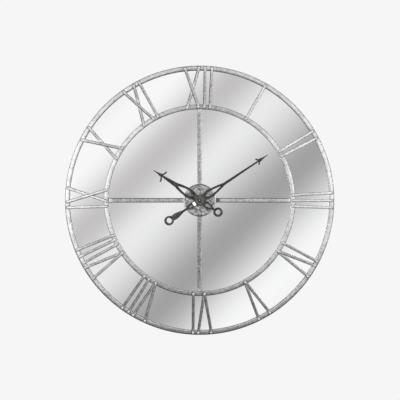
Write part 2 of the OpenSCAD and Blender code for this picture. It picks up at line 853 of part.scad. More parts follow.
module bridge_screws() {
    color("lightgray")
        for (at = pillars) {
            rod(at, bridge_screw_d / 2, bridge_back, bridge_front + bridge_screw_bite);
            rod(at, bridge_screw_head_d / 2, bridge_back - bridge_screw_head_t, bridge_back);
        }
}

// Circuit, motor and battery

module circuit_board() {
    low = bridge_clear - bay_wall_z;
    back = bridge_back - circuit_t;
    chip_x = circuit_w / 3 - circuit_left;
    crystal_x = 2 * circuit_w / 3 - circuit_left;
    middle_z = low + circuit_h / 2;
    can_f = back + crystal_seat - crystal_d / 2;
    color("green") {
        slab(back, bridge_back)
            translate([-circuit_left, low])
                square([circuit_w, circuit_h]);
        rod([chip_x, middle_z], chip_r, back - chip_t, back);
        translate([crystal_x, wall_y - can_f, middle_z - crystal_l / 2])
            cylinder(h = crystal_l, d = crystal_d);
    }
}

module stator() {
    color("silver")
        slab(stator_back, stator_front)
            difference() {
                union() {
                    translate(rotor_at)
                        circle(stator_r);
                    translate([core_left, rotor_at[1]])
                        square([2 * stator_leg_w, core_z + core_w / 2 - rotor_at[1]]);
                    translate([rotor_at[0], leg_z])
                        square([core_right - rotor_at[0], stator_leg_w]);
                    translate([core_right - stator_leg_w, leg_z])
                        square([stator_leg_w, core_z + core_w / 2 - leg_z]);
                }
                translate(rotor_at)
                    circle(stator_hole_r);
            }
}

module coil_core() {
    color("silver")
        slab(stator_front, core_front)
            translate([core_left, core_z - core_w / 2])
                square([core_right - core_left, core_w]);
}

module motor_coil() {
    room = core_w + 2 * run_clear;
    middle_f = (stator_front + core_front) / 2;
    color("peru")
        difference() {
            translate([bobbin_x, wall_y - middle_f, core_z])
                rotate([0, 90, 0]) {
                    cylinder(h = bobbin_l, r = coil_r);
                    cylinder(h = bobbin_flange_t, r = bobbin_r);
                    translate([0, 0, bobbin_l - bobbin_flange_t])
                        cylinder(h = bobbin_flange_t, r = bobbin_r);
                }
            slab(stator_front - run_clear, core_front + run_clear)
                translate([core_left, core_z - room / 2])
                    square([core_right - core_left, room]);
        }
}

module battery_cell() {
    color("darkgoldenrod")
        translate([cell_left, wall_y - cell_f, cell_z])
            rotate([0, 90, 0]) {
                cylinder(h = cell_l - nub_l, d = cell_d);
                cylinder(h = cell_l, d = nub_d);
            }
}

module contact_strip(x) {
    slab(cell_f - contact_w / 2, cell_f + contact_w / 2)
        translate([x, cell_z - contact_w / 2])
            square([contact_t, contact_w]);
}

module positive_contact() {
    color("silver")
        contact_strip(inside_w / 2 - contact_t);
}

module negative_contact() {
    wall_x = -inside_w / 2;
    color("silver") {
        contact_strip(wall_x);
        translate([wall_x + contact_t, wall_y - cell_f, cell_z])
            rotate([0, 90, 0])
                cylinder(h = cell_left - wall_x - contact_t, r1 = contact_w / 2, r2 = spring_r);
    }
}

// Trains

module rotor() {
    color("slategray") {
        rod(rotor_at, pivot_r, pivot_back, pivot_front);
        rod(rotor_at, magnet_r, magnet_back, magnet_back + magnet_t);
        train_gear(rotor_at, rotor_pinion_z, step_module, rotor_phase, 5);
    }
}

module step_wheel() {
    color("white") {
        rod(step_at, pivot_r, pivot_back, pivot_front);
        train_gear(step_at, step_wheel_z, step_module, step_phase, 5);
        train_gear(step_at, step_pinion_z, second_module, step_phase, 4);
    }
}

module second_wheel() {
    color("white") {
        rod(second_at, pivot_r, pivot_back, pivot_front);
        train_gear(second_at, second_wheel_z, second_module, second_phase, 4);
        train_gear(second_at, second_pinion_z, third_module, second_phase, 3);
    }
}

module third_wheel() {
    color("white") {
        rod(third_at, pivot_r, pivot_back, pivot_front);
        train_gear(third_at, third_wheel_z, third_module, third_phase, 3);
        train_gear(third_at, third_pinion_z, centre_module, third_phase, 2);
    }
}

module centre_wheel() {
    color("gold") {
        rod(centre_at, pivot_r, pivot_back, layer(2));
        rod(centre_at, arbor_r, layer(2), depth - hand_nut_cap - end_play);
        train_gear(centre_at, centre_wheel_z, centre_module, centre_phase, 2);
        train_gear(centre_at, minute_pinion_z, setting_module, centre_phase, 1);
    }
}

module motion_wheel() {
    color("white") {
        rod(motion_at, pivot_r, pivot_back, pivot_front);
        train_gear(motion_at, motion_wheel_z, setting_module, motion_phase, 1);
        train_gear(motion_at, motion_pinion_z, hour_module, motion_phase, 0);
    }
}

module hour_wheel() {
    color("gold")
        difference() {
            union() {
                rod(centre_at, tube_r, layer(0), hour_front + tube_show);
                train_gear(centre_at, hour_wheel_z, hour_module, hour_phase, 0);
            }
            rod(centre_at, tube_in_r, layer(0) - over, hour_front + tube_show + over);
        }
}

module setting_pinion() {
    color("white") {
        rod(setting_at, pivot_r, layer(1), pivot_front);
        rod(setting_at, shaft_r, case_back - knob_gap - knob_t + end_play, layer(1));
        train_gear(setting_at, setting_pinion_z, setting_module, setting_phase, 1);
    }
}

module setting_knob() {
    knob_back = case_back - knob_gap - knob_t;
    color("black")
        slab(knob_back, knob_back + knob_t)
            translate(setting_at)
                difference() {
                    circle(knob_d / 2);
                    circle(shaft_r + press_clear);
                }
}

// Clamping the movement to the plate

module gasket() {
    color("black")
        slab(case_front, ring_front)
            difference() {
                circle(gasket_d / 2);
                circle((bushing_d + bushing_clear) / 2);
            }
}

module washer() {
    color("gold")
        slab(plate_front, washer_front)
            difference() {
                circle(washer_d / 2);
                circle((bushing_d + bushing_clear) / 2);
            }
}

module bushing_nut() {
    color("gold")
        slab(washer_front, nut_front)
            difference() {
                circle(nut_flats / 2 / cos(30), $fn = 6);
                circle((bushing_d + thread_clear) / 2);
            }
}

// Hands, drawn with the tip up

// Sides of a lens's outline, from end to end, and of each curve of an arrow head
lens_steps = 20;
arrow_steps = 6;

// Half width of a lens between a and b that is widest at peak
function lens_skew(a, b, peak) = ln(0.5) / ln((peak - a) / (b - a));
function lens_half(z, a, b, w, peak) = w / 2 * sin(180 * pow((z - a) / (b - a), lens_skew(a, b, peak)));

module lens(a, b, w, peak) {
    at = [for (i = [0 : lens_steps]) a + (b - a) * i / lens_steps];
    right = [for (z = at) [lens_half(z, a, b, w, peak), z]];
    left = [for (i = [lens_steps - 1 : -1 : 1]) [-right[i][0], right[i][1]]];
    polygon(concat(right, left));
}

// The hole in an eye, between a hub and the given top, which leaves a band of the given width at its sides
module eye_hole(hub_r, top, w, peak, band) {
    lens(hub_r + band, top, w - 2 * band, peak);
}

// The hole in the eye of a tail, widest a third of the way out
module tail_hole(near, far, w) {
    lens(-far, -near, w, -(2 * near + far) / 3);
}

// A straight strip along the middle
module strip(z0, z1, w) {
    translate([-w / 2, z0])
        square([w, z1 - z0]);
}

// Shaft and arrow head: the outline runs up the shaft, out along the underside of a barb, back along its
// front and up the blade to the tip, and the left side mirrors the right
module arrow(shaft_z, shaft_w0, shaft_w1, root, tip, head_w, reach, fall, barb_w) {
    n = arrow_steps;
    function blade(t) = [hand_tip_w / 2 + (head_w - hand_tip_w) / 2 * pow(1 - t, 2), root + (tip - root) * t];
    function barb(t) = [reach * t, root - fall * (2 * t - t * t)];
    under_t = shaft_w1 / 2 / reach;
    front_t = head_w / 2 / reach;
    half_w = [0, barb_w / 2];
    right = concat([[shaft_w0 / 2, shaft_z]],
                   [for (i = [0 : n]) barb(under_t + (1 - under_t) * i / n) - half_w],
                   [for (i = [0 : n]) barb(1 - (1 - front_t) * i / n) + half_w],
                   [for (i = [0 : n]) blade(i / n)]);
    left = [for (i = [len(right) - 1 : -1 : 0]) [-right[i][0], right[i][1]]];
    polygon(concat(right, left));
}

module hour_hand() {
    color("dimgray")
        rotate([0, hour_angle, 0])
            slab(hour_back, hour_front)
                difference() {
                    union() {
                        circle(hour_hub_r);
                        lens(0, hour_eye_end, hour_eye_w, hour_eye_peak);
                        arrow(hour_eye_top, hour_shaft_w0, hour_shaft_w1, hour_root,
                              hour_tip, hour_head_w, hour_barb, hour_barb_fall, hour_barb_w);
                        lens(-hour_tail_end, 0, hour_tail_w, -hour_tail_peak);
                        strip(-hour_ring_at, -hour_hub_r, hour_neck_w);
                        translate([0, -hour_ring_at])
                            circle(hour_ring_r);
                    }
                    eye_hole(hour_hub_r, hour_eye_top, hour_eye_w, hour_eye_peak, hour_eye_band);
                    tail_hole(hour_hub_r + hour_hub_band, hour_tail_end - hour_tail_band,
                              hour_tail_w - 2 * hour_tail_band);
                    translate([0, -hour_ring_at])
                        circle(hour_ring_r - hour_ring_w);
                    circle(tube_r + press_clear);
                }
}

module minute_hand() {
    leaf_peak = -minute_leaf_end + minute_ring_r;
    color("dimgray")
        rotate([0, minute_angle, 0])
            slab(minute_back, minute_front)
                difference() {
                    union() {
                        circle(minute_hub_r);
                        lens(0, minute_eye_end, minute_eye_w, minute_eye_peak);
                        arrow(minute_eye_top, minute_shaft_w0, minute_shaft_w1,
                              minute_root, minute_tip, minute_head_w, minute_barb, minute_barb_fall,
                              minute_barb_w);
                        lens(-minute_tail_end, 0, minute_tail_w, -minute_tail_peak);
                        strip(-minute_ring_at, minute_tail_band - minute_tail_end, minute_neck_w);
                        lens(-minute_leaf_end, -minute_tail_end, minute_leaf_w, leaf_peak);
                        translate([0, -minute_ring_at])
                            circle(minute_ring_r);
                    }
                    eye_hole(minute_hub_r, minute_eye_top, minute_eye_w, minute_eye_peak, minute_eye_band);
                    tail_hole(minute_hub_r + minute_hub_band, minute_tail_end - minute_tail_band,
                              minute_tail_w - 2 * minute_tail_band);
                    translate([0, -minute_ring_at])
                        circle(minute_ring_r - minute_ring_w);
                    circle(arbor_r + press_clear);
                }
}

module hand_nut() {
    r = hand_nut_d / 2;
    bore_r = arbor_r + thread_clear / 2;
    bore_end = depth - hand_nut_cap;
    color("gold")
        turned([[bore_r, minute_front], [r, minute_front], [r, bore_end], [r - hand_nut_cap, depth],
                [0, depth], [0, bore_end], [bore_r, bore_end]]);
}

outer_ring();
inner_ring();
numeral(1);  // numeral_1
numeral(2);  // numeral_2
numeral(3);  // numeral_3
numeral(4);  // numeral_4
numeral(5);  // numeral_5
numeral(6);  // numeral_6
numeral(7);  // numeral_7
numeral(8);  // numeral_8
numeral(9);  // numeral_9
numeral(10);  // numeral_10
numeral(11);  // numeral_11
numeral(12);  // numeral_12
spoke(3);  // spoke_3
spoke(6);  // spoke_6
spoke(9);  // spoke_9
spoke(12);  // spoke_12
centre_plate();
mirror_glass();
backing_board();
board_clips();
clip_screws();
hanger_plate();
hanger_screws();
wall_bumpers();
movement_base();
movement_cover();
train_bridge();
bridge_screws();
circuit_board();
stator();
coil_core();
motor_coil();
battery_cell();
positive_contact();
negative_contact();
rotor();
step_wheel();
second_wheel();
third_wheel();
centre_wheel();
motion_wheel();
hour_wheel();
setting_pinion();
setting_knob();
gasket();
washer();
bushing_nut();
hour_hand();
minute_hand();
hand_nut();
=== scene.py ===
import math

import bpy
import numpy as np
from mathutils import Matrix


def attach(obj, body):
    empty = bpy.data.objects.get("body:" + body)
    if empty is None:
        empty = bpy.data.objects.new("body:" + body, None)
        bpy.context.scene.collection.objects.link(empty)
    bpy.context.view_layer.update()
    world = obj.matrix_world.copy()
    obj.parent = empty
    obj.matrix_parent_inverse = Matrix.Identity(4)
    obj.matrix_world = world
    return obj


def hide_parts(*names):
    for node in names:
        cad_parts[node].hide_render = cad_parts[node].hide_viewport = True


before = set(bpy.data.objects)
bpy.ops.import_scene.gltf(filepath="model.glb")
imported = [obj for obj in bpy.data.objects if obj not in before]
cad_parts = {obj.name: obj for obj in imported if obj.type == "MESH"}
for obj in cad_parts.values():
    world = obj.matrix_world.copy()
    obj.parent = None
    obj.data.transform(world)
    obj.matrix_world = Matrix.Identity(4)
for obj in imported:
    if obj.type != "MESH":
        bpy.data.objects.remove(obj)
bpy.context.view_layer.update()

# Backing board.
# A disc of fibreboard, painted dark on its back and left raw on its edge and in its routed pocket. It
# stiffens the glass, takes the clip and hanger screws, and has a hole that the movement reaches through.


class Tone:
    """A value that changes over a surface. It wraps a node's socket, and a sum on it adds a Math node."""

    def __init__(self, finish, socket):
        self.finish = finish
        self.socket = socket

    def sum(self, operation, a, b):
        return self.finish.node("ShaderNodeMath", {"operation": operation}, {0: a, 1: b})

    def __add__(self, other):
        return self.sum("ADD", self, other)

    def __sub__(self, other):
        return self.sum("SUBTRACT", self, other)

    def __rsub__(self, other):
        return self.sum("SUBTRACT", other, self)

    def __mul__(self, other):
        return self.sum("MULTIPLY", self, other)

    __radd__ = __add__
    __rmul__ = __mul__


class Finish:
    """A material with one Principled shader, whose sockets take numbers, colours or tones."""

    def __init__(self, name):
        self.material = bpy.data.materials.new(name)
        self.material.use_nodes = True
        self.tree = self.material.node_tree
        self.shader = self.tree.nodes["Principled BSDF"]

    def node(self, kind, settings, sockets, out=0):
        """Adds a node of a kind: its settings first, then its sockets by name or number, and one output."""
        made = self.tree.nodes.new(kind)
        for key, value in settings.items():
            if key == "stops":
                self.ramp(made.color_ramp, value)
            else:
                setattr(made.color_ramp if key == "interpolation" else made, key, value)
        self.feed(made, sockets)
        return Tone(self, made.outputs[out])

    def ramp(self, ramp, stops):
        """Sets a colour ramp's stops, each (place, colour)."""
        while len(ramp.elements) < len(stops):
            ramp.elements.new(0.5)
        for element, (place, colour) in zip(ramp.elements, stops):
            element.position = place
            element.color = (*colour, 1)

    def feed(self, made, sockets):
        """Sets a node's sockets: a tone is linked, and a number or colour is set on the socket itself."""
        for key, value in sockets.items():
            if isinstance(value, Tone):
                self.tree.links.new(value.socket, made.inputs[key])
            elif isinstance(value, tuple) and made.inputs[key].type == "RGBA":
                made.inputs[key].default_value = (*value, 1)
            else:
                made.inputs[key].default_value = value

    def surface(self, **sockets):
        """Feeds the shader: surface(base_color=..., roughness=...), and returns the finished material."""
        named = {key.replace("_", " ").title().replace("Ior", "IOR"): value for key, value in sockets.items()}
        self.feed(self.shader, named)
        return self.material

    def place(self):
        """Where a point is on the object, in metres."""
        return self.node("ShaderNodeTexCoord", {}, {}, "Object")

    def noise(self, scale, detail, roughness):
        """Cloudy noise from 0 to 1, with that many clouds a metre."""
        return self.node("ShaderNodeTexNoise", {}, {"Vector": self.place(), "Scale": scale,
                                                    "Detail": detail, "Roughness": roughness})

    def between(self, value, low, high):
        """0 below low, 1 above high, and a smooth step from one to the other."""
        return self.node("ShaderNodeMapRange", {"interpolation_type": "SMOOTHSTEP"},
                         {"Value": value, "From Min": low, "From Max": high})

    def within(self, value, low, high, soft):
        """1 from low to high and 0 outside them, with a smooth step of a soft width inside each."""
        return self.between(value, low, low + soft) * (1 - self.between(value, high - soft, high))

    def mix(self, share, a, b):
        """Colour a where share is 0 and colour b where it is 1."""
        return self.node("ShaderNodeMix", {"data_type": "RGBA"}, {0: share, 6: a, 7: b}, 2)

    def bump(self, height, depth):
        """A surface that rises by depth, in metres, where height is 1."""
        return self.node("ShaderNodeBump", {}, {"Height": height, "Distance": depth})

    def axis(self, letter):
        """One coordinate of the place on the object."""
        return self.node("ShaderNodeSeparateXYZ", {}, {0: self.place()}, letter)

    def far(self, x, z):
        """How far a point lies from where x and z are 0: the root of the sum of their squares."""
        return self.node("ShaderNodeMath", {"operation": "SQRT"}, {0: x * x + z * z})


mm = 0.001
board_radius = 391.0


def painted_fibreboard():
    """Dark paint over pressed fibres: fine felt-like bump, cloudy wear, and raw brown fibre on the edge."""
    board = Finish("painted_fibreboard")
    fibres = board.noise(900, 4, 0.7)
    clouds = board.noise(14, 4, 0.6)
    far = board.far(board.axis("X"), board.axis("Z"))
    edge = board.between(far, (board_radius - 1.7) * mm, (board_radius - 0.7) * mm)
    paint = board.mix(board.between(clouds, 0.3, 0.75), (0.060, 0.054, 0.048), (0.105, 0.095, 0.084))
    flecked = board.mix(board.between(fibres, 0.55, 0.8) * 0.5, paint, (0.16, 0.14, 0.115))
    raw = board.mix(fibres, (0.20, 0.13, 0.075), (0.33, 0.23, 0.14))
    return board.surface(base_color=board.mix(edge, flecked, raw), roughness=0.62 + fibres * 0.25,
                         normal=board.bump(fibres, 0.0002))


def dress(material, *nodes):
    """Gives nodes of the frame that stay in view their material."""
    for node in nodes:
        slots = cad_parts[node].data.materials
        slots.clear()
        slots.append(material)


dress(painted_fibreboard(), "backing_board")


# Mirror glass.
# One round sheet of silvered float glass behind the whole frame, with a hole for the movement. Its edge is
# ground and shows green, and hides behind the outer ring.
glass_radius = 392.0


def silvered_glass():
    """A polished mirror: a trace of haze where it was wiped, and a ground green edge outside its silver."""
    glass = Finish("silvered_glass")
    far = glass.far(glass.axis("X"), glass.axis("Z"))
    rim = glass.between(far, (glass_radius - 0.8) * mm, (glass_radius - 0.4) * mm)
    haze = glass.noise(9, 4, 0.6)
    return glass.surface(base_color=glass.mix(rim, (0.95, 0.955, 0.955), (0.16, 0.30, 0.24)),
                         metallic=1 - rim, roughness=0.015 + haze * 0.02 + rim * 0.4)


dress(silvered_glass(), "mirror_glass")


# Outer and inner ring.
# Flat steel bar rolled edgewise into two hoops, with its face dressed round by hand. The hoops are laid in
# silver leaf over a dark ground, and a dark wash is left on their sides. Painted shade darkens their sides,
# their edges that face down, and their bottom and top.
wall = 20.55  # y of the wall's face: each depth f below is in mm from it towards the front
ring_back, ring_front = 17.0, 25.0
ring_width = 13.5
outer_radius, inner_radius = 400.0, 284.5


def skin(points, closed):
    """A shell over a grid of points whose columns wrap round, and whose rows do if closed: the points, and
    quads between neighbouring ones. The ends of an open one are closed by a face each."""
    rows, columns = points.shape[:2]
    i = np.arange(rows if closed else rows - 1)[:, None]
    j = np.arange(columns)[None, :]
    down, across = (i + 1) % rows, (j + 1) % columns
    quads = np.stack([i * columns + j, i * columns + across, down * columns + across, down * columns + j], -1)
    faces = quads.reshape(-1, 4).tolist()
    if not closed:
        faces.append(list(range(columns))[::-1])
        faces.append(list(range((rows - 1) * columns, rows * columns)))
    return points, faces


def piece(name, shells, material, slot, body="frame", sharp=35.0, bevel=0.0, **tones):
    """Makes one object of closed shells, each (points, faces) in millimetres. A shell whose volume, summed
    over its faces, comes out below 0 has them turned outwards. Stores a tone for each point, rounds sharp
    edges by bevel, and stands for the node of its own name."""
    points, faces = [], []
    count = 0
    for own, own_faces in shells:
        flat = own.reshape(-1, 3)
        fans = [(f[0], f[k], f[k + 1]) for f in own_faces for k in range(1, len(f) - 1)]
        a, b, c = (flat[np.array(corner)] for corner in zip(*fans))
        inside_out = np.einsum("ij,ij->i", a, np.cross(b, c)).sum() < 0
        faces += [[count + v for v in (f[::-1] if inside_out else f)] for f in own_faces]
        points.append(flat)
        count += len(flat)
    mesh = bpy.data.meshes.new(name)
    mesh.from_pydata(np.concatenate(points) * mm, [], faces)
    for tone, values in tones.items():
        stored = mesh.attributes.new(tone, "FLOAT", "POINT").data
        stored.foreach_set("value", values.astype(np.float32).ravel())
    mesh.shade_smooth()
    mesh.set_sharp_from_angle(angle=math.radians(sharp))
    mesh.materials.append(material)
    made = bpy.data.objects.new(name, mesh)
    bpy.context.scene.collection.objects.link(made)
    if bevel:
        rounding = made.modifiers.new("rounded_edges", "BEVEL")
        rounding.width, rounding.segments = bevel * mm, 2
        rounding.limit_method, rounding.angle_limit = "ANGLE", math.radians(sharp)
    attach(made, body)
    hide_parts(name)


def dents(a, b, seed):
    """Smooth unevenness of a hand-dressed bar, about -1 to 1: five crossed waves of unlike lengths, in mm."""
    draw = np.random.default_rng(seed)
    lengths = draw.uniform(9, 55, 5)
    turns = draw.uniform(0, 2 * math.pi, (5, 2))
    waves = [np.sin(a * 2 * math.pi / length + p) * np.cos(b * 2 * math.pi / (length * 0.8) + q)
             for length, (p, q) in zip(lengths, turns)]
    return np.sum(waves, axis=0) / 2.2


def bar_profile(width, back, front, crown):
    """Section of a bar as (across, f): a flat back, straight sides, and a face that is half an oval of
    power 3, crown high: nearly flat, with round edges."""
    t = np.linspace(0, math.pi, 25)
    c, s = np.cos(t), np.sin(t)
    power = 2 / 3
    across, f = width / 2 * np.sign(c) * np.abs(c) ** power, front - crown + crown * np.abs(s) ** power
    sides = np.linspace(back, front - crown, 5)[:-1]
    right = np.stack([np.full(4, width / 2), sides], -1)
    left = np.stack([np.full(4, -width / 2), sides[::-1]], -1)
    return np.concatenate([right, np.stack([across, f], -1), left])


def dial(radius, angle):
    """A point [x, z] at a radius, at an angle in degrees clockwise from twelve."""
    a = np.radians(angle)
    return np.stack([radius * np.sin(a), radius * np.cos(a)], -1)


def edge_wash_and_shade(across, width, share, reach, even, ran):
    """Darkening along the edges of a bar's face, dark wash and painted shade: a share of it at the edge, and
    none at its reach from it. The part that lies on both edges alike is even. The rest is painted shade on
    one side, away from the light: ran, from -1 to 1, is how far to the side on which across is above 0. An
    edge with a share below 0 is painted bright: a painted highlight."""
    left = np.clip(even + ran * np.sign(across), -0.4, 1)
    return share * left * np.clip(1 - (width / 2 - np.abs(across)) / reach, 0, 1) ** 1.5


def silver_leaf():
    """Leaf over a dark ground: soft mottling in three sizes, leaf joins as faint lines, rubbed specks where
    the ground shows, and the darkening that each point's own tone gives, dark wash and painted shade. Where
    that is below 0, the metal is painted bright and smoother: rubbed wear, and painted highlights."""
    leaf = Finish("silver_leaf")
    # Each point's tone: dark wash and painted shade above 0, rubbed wear and painted highlights below 0
    wash = leaf.node("ShaderNodeAttribute", {"attribute_name": "wash"}, {}, "Fac")
    patches = leaf.noise(22, 3, 0.55)
    mottle = leaf.noise(130, 2, 0.5)
    grain = leaf.noise(700, 3, 0.7)
    hammered = leaf.noise(85, 1, 0.4)
    joins = leaf.node("ShaderNodeTexVoronoi", {"feature": "DISTANCE_TO_EDGE"},
                      {"Vector": leaf.place(), "Scale": 26, "Randomness": 0.9}, "Distance")
    seam = 1 - leaf.between(joins, 0.004, 0.03)
    blotch = leaf.between(leaf.noise(190, 3, 0.6), 0.46, 0.62) * leaf.between(wash, 0.28, 0.5)
    rubbed = leaf.between(mottle, 0.62, 0.72) * leaf.between(patches, 0.42, 0.62)
    tone = patches * 0.45 + mottle * 0.55
    silver = leaf.mix(leaf.between(tone, 0.3, 0.7), (0.25, 0.25, 0.252), (0.44, 0.438, 0.435))
    worn = leaf.mix(rubbed * 0.6, silver, (0.16, 0.15, 0.14))
    joined = leaf.mix(seam * 0.3, worn, (0.20, 0.195, 0.19))
    dark = leaf.between(wash + grain * 0.1 - 0.05, 0.15, 0.95) * 0.9 + blotch * 0.35
    washed_and_shaded = leaf.mix(dark, joined, (0.06, 0.0585, 0.057))
    bright = leaf.between(0 - wash, 0.05, 0.4)
    beaten = hammered * 0.55 + mottle * 0.12 + grain * 0.03 - rubbed * 0.1 - seam * 0.1
    height = beaten * (1 - bright * 0.7)
    return leaf.surface(base_color=leaf.mix(bright, washed_and_shaded, (0.56, 0.557, 0.552)),
                        metallic=0.92 - dark * 0.75 - rubbed * 0.2,
                        roughness=0.39 + mottle * 0.1 + rubbed * 0.1 + wash * 0.1,
                        specular_ior_level=0.15, normal=leaf.bump(height, 0.00016))


leaf = silver_leaf()


def hoop(name, radius, seed, low, high, edge_low, edge_high):
    """A ring bar: the bar's section carried round a circle, with shallow dents in its face. Dark wash and
    painted shade lie on its sides, and painted shade darkens it, as a power of a cosine, towards its bottom
    (low) and its top (high). The painted shade on its edges, heavier on the edge that faces down, goes from
    the share edge_low at the bottom to edge_high at the top."""
    steps, crown, deep = 1080, 2.0, 0.12
    side_top, side_fade = ring_back + 6.2, 4.5
    topmost, edge_reach, edge_even = 5, 5.5, 0.35
    profile = bar_profile(ring_width, ring_back, ring_front, crown)
    turn = np.linspace(0, 360, steps, endpoint=False)[:, None]
    across, f = profile[None, :, 0], profile[None, :, 1]
    face = np.clip((f - ring_front + crown) / crown, 0, 1)
    uneven = dents(np.radians(turn) * radius, across, seed) * deep
    ground = dial(radius - ring_width / 2 + across + 0 * turn, turn + 0 * across)
    points = np.stack([ground[..., 0], wall - (f + (uneven - deep) * face), ground[..., 1]], -1)
    sides = np.clip((side_top - f) / side_fade, 0, 1) ** 0.8
    # Painted shade: darker towards the bottom and top, and along the edge that faces down
    up = np.cos(np.radians(turn - topmost))
    sunk = np.where(up < 0, low * np.abs(up) ** 1.2, high * up ** 3)
    share = edge_high + (edge_low - edge_high) * (1 - up) / 2
    edges = edge_wash_and_shade(across, ring_width, share, edge_reach, edge_even, -up)
    piece(name, [skin(points, True)], leaf, "silver_leaf", wash=np.maximum(sides, sunk + edges))


hoop("outer_ring", outer_radius, seed=3, low=0.56, high=0.34, edge_low=1.1, edge_high=0.4)
hoop("inner_ring", inner_radius, seed=7, low=0.54, high=0.46, edge_low=0.6, edge_high=0.22)


# Spokes.
# Four straight lengths of the same bar, welded into the inner ring, whose inner ends meet under the centre
# plate. Dark wash and painted shade darken them all over, most on the lower one, and painted shade darkens
# them where they go under the plate, most on the one at three. On the upright ones the right edge is painted
# bright: a painted highlight.
# The lower left, the side of a bar away from the light: its edge there gets painted shade
shade_side = np.array([-0.8, -0.6])


def straight_bar(foot, head, width, back, front, crown, seed, dulled_and_shaded, edge, start=(0, 0), end=(0, 0)):
    """A bar from foot to head, each [x, z]: its section carried along a line. The run at which it starts and
    ends is start[0] + start[1] * across, so that an end can be cut on the slant, and its ends are eased. The
    darkening laid all over it, dark wash and painted shade, is one share, with less of it towards the ends,
    where hands rubbed it. More lies on its sides and round its ends, partly painted shade, and at its edges
    as edge says: a share, a reach, and the parts that are even and that are painted shade on the lower left."""
    ease, step, deep = 1.1, 2.5, 0.1
    rubbed, rubbed_reach = 0.35, 9
    length = np.linalg.norm(head - foot)
    along = (head - foot) / length
    aside = np.array([along[1], -along[0]])
    profile = bar_profile(width, back, front, crown)
    first = start[0] + start[1] * profile[:, 0]
    last = length + end[0] + end[1] * profile[:, 0]
    count = max(8, int((last.mean() - first.mean()) / step))
    inside = np.linspace(0, 1, count)[1:-1, None]
    tip = np.array([0, 0.12, 0.35, 0.7, 1])[:, None] * ease
    runs = np.concatenate([first + tip, first + ease + (last - first - 2 * ease) * inside, last - tip[::-1]])
    from_tip = np.concatenate([tip, np.full((count - 2, 1), ease), tip[::-1]]) / ease
    inset = ease * 0.8 * (1 - np.sqrt(1 - (1 - from_tip) ** 2))
    across = profile[None, :, 0] * (1 - 2 * inset / width)
    face = np.clip((profile[None, :, 1] - front + crown) / crown, 0, 1)
    f = profile[None, :, 1] + (dents(runs, across, seed) * deep - deep - inset) * face
    x = foot[0] + runs * along[0] + across * aside[0]
    z = foot[1] + runs * along[1] + across * aside[1]
    sides = np.clip((back + 0.62 * (front - back) - f) / (0.45 * (front - back)), 0, 1) ** 0.9
    ends = 0.3 * (1 - from_tip)
    share, reach, even, ran = edge
    face_wash_and_shade = dulled_and_shaded + edge_wash_and_shade(profile[None, :, 0], width, share, reach, even, ran * (aside @ shade_side))
    for run in (runs - first, last - runs):
        face_wash_and_shade = face_wash_and_shade - rubbed * np.exp(-(run / rubbed_reach) ** 2)
    wash = np.maximum(np.maximum(sides, ends), face_wash_and_shade)
    return skin(np.stack([x, wall - f, z], -1), False), wash


plate_radius = 48.5
spoke_in, spoke_out, spoke_crown = 34.0, 270.7, 1.9
plate_shade_reach = 14
# Spoke edges: painted shade on both edges alike of the flat ones; the right edge of the upright ones painted
# bright, a painted highlight
flat_edge, upright_edge = (0.75, 3.4, 1, 0), (-0.85, 4.8, 0.5, -0.65)
for hour, edge, plate_shade, dulled_and_shaded in ((3, flat_edge, 1.1, 0.37), (6, upright_edge, 0.5, 0.58),
                                   (9, flat_edge, 0.2, 0.44), (12, upright_edge, 0.2, 0.48)):
    shell, wash = straight_bar(dial(spoke_in, 30 * hour), dial(spoke_out, 30 * hour), ring_width, ring_back,
                               ring_front, spoke_crown, 20 + hour, dulled_and_shaded, edge)
    from_plate = np.hypot(shell[0][..., 0], shell[0][..., 2]) - plate_radius
    wash = np.maximum(wash, plate_shade * np.exp(-(from_plate / plate_shade_reach) ** 2))
    piece(f"spoke_{hour}", [shell], leaf, "silver_leaf", wash=wash)


# Numerals.
# Roman numerals made of narrow bars welded across the faces of both rings, with a round bead of weld at each
# end. Where two bars of a V or an X meet, one runs through and the other is cut to meet it.
letters = ["XII", "I", "II", "III", "IV", "V", "VI", "VII", "VIII", "IX", "X", "XI"]
# How far each bar's foot and head lie off the even spacing, in degrees clockwise
laid_off = [[(-1.2, -0.8), (-1.4, 0), (-0.5, -0.1), (-0.2, -0.4)], [(-0.4, -0.2)], [(0.1, 0.2), (0.1, 0.4)],
            [(0, 0), (0.2, 0.1), (0.5, 0)], [(1.2, 1.6), (1.9, 0.9), (1.9, 1.1)], [(1, 0.7), (1, 0.8)],
            [(-1.6, -1), (-1.6, -0.8), (-0.2, -1.2)], [(1, 0), (1, 0.2), (0.2, 0), (0.4, 0)],
            [(0.3, 0.9), (0.3, 1.3), (1, 0.8), (0.9, 0.7), (0.6, 0.7)], [(1.2, 0.9), (1.7, 0.6), (1.6, 1.4)],
            [(0.4, -0.3), (-0.1, 0.6)], [(-1.7, -1.2), (-2, -1.1), (-1.5, -1.3)]]
head_span, foot_span = 5.5, 7.4
stroke_pitch, letter_gap = 3.2, 2.6
bar_width, bar_thick = 8.5, 5.0
bar_overlap = 3
bar_out, bar_in = outer_radius - bar_overlap, inner_radius - ring_width + bar_overlap


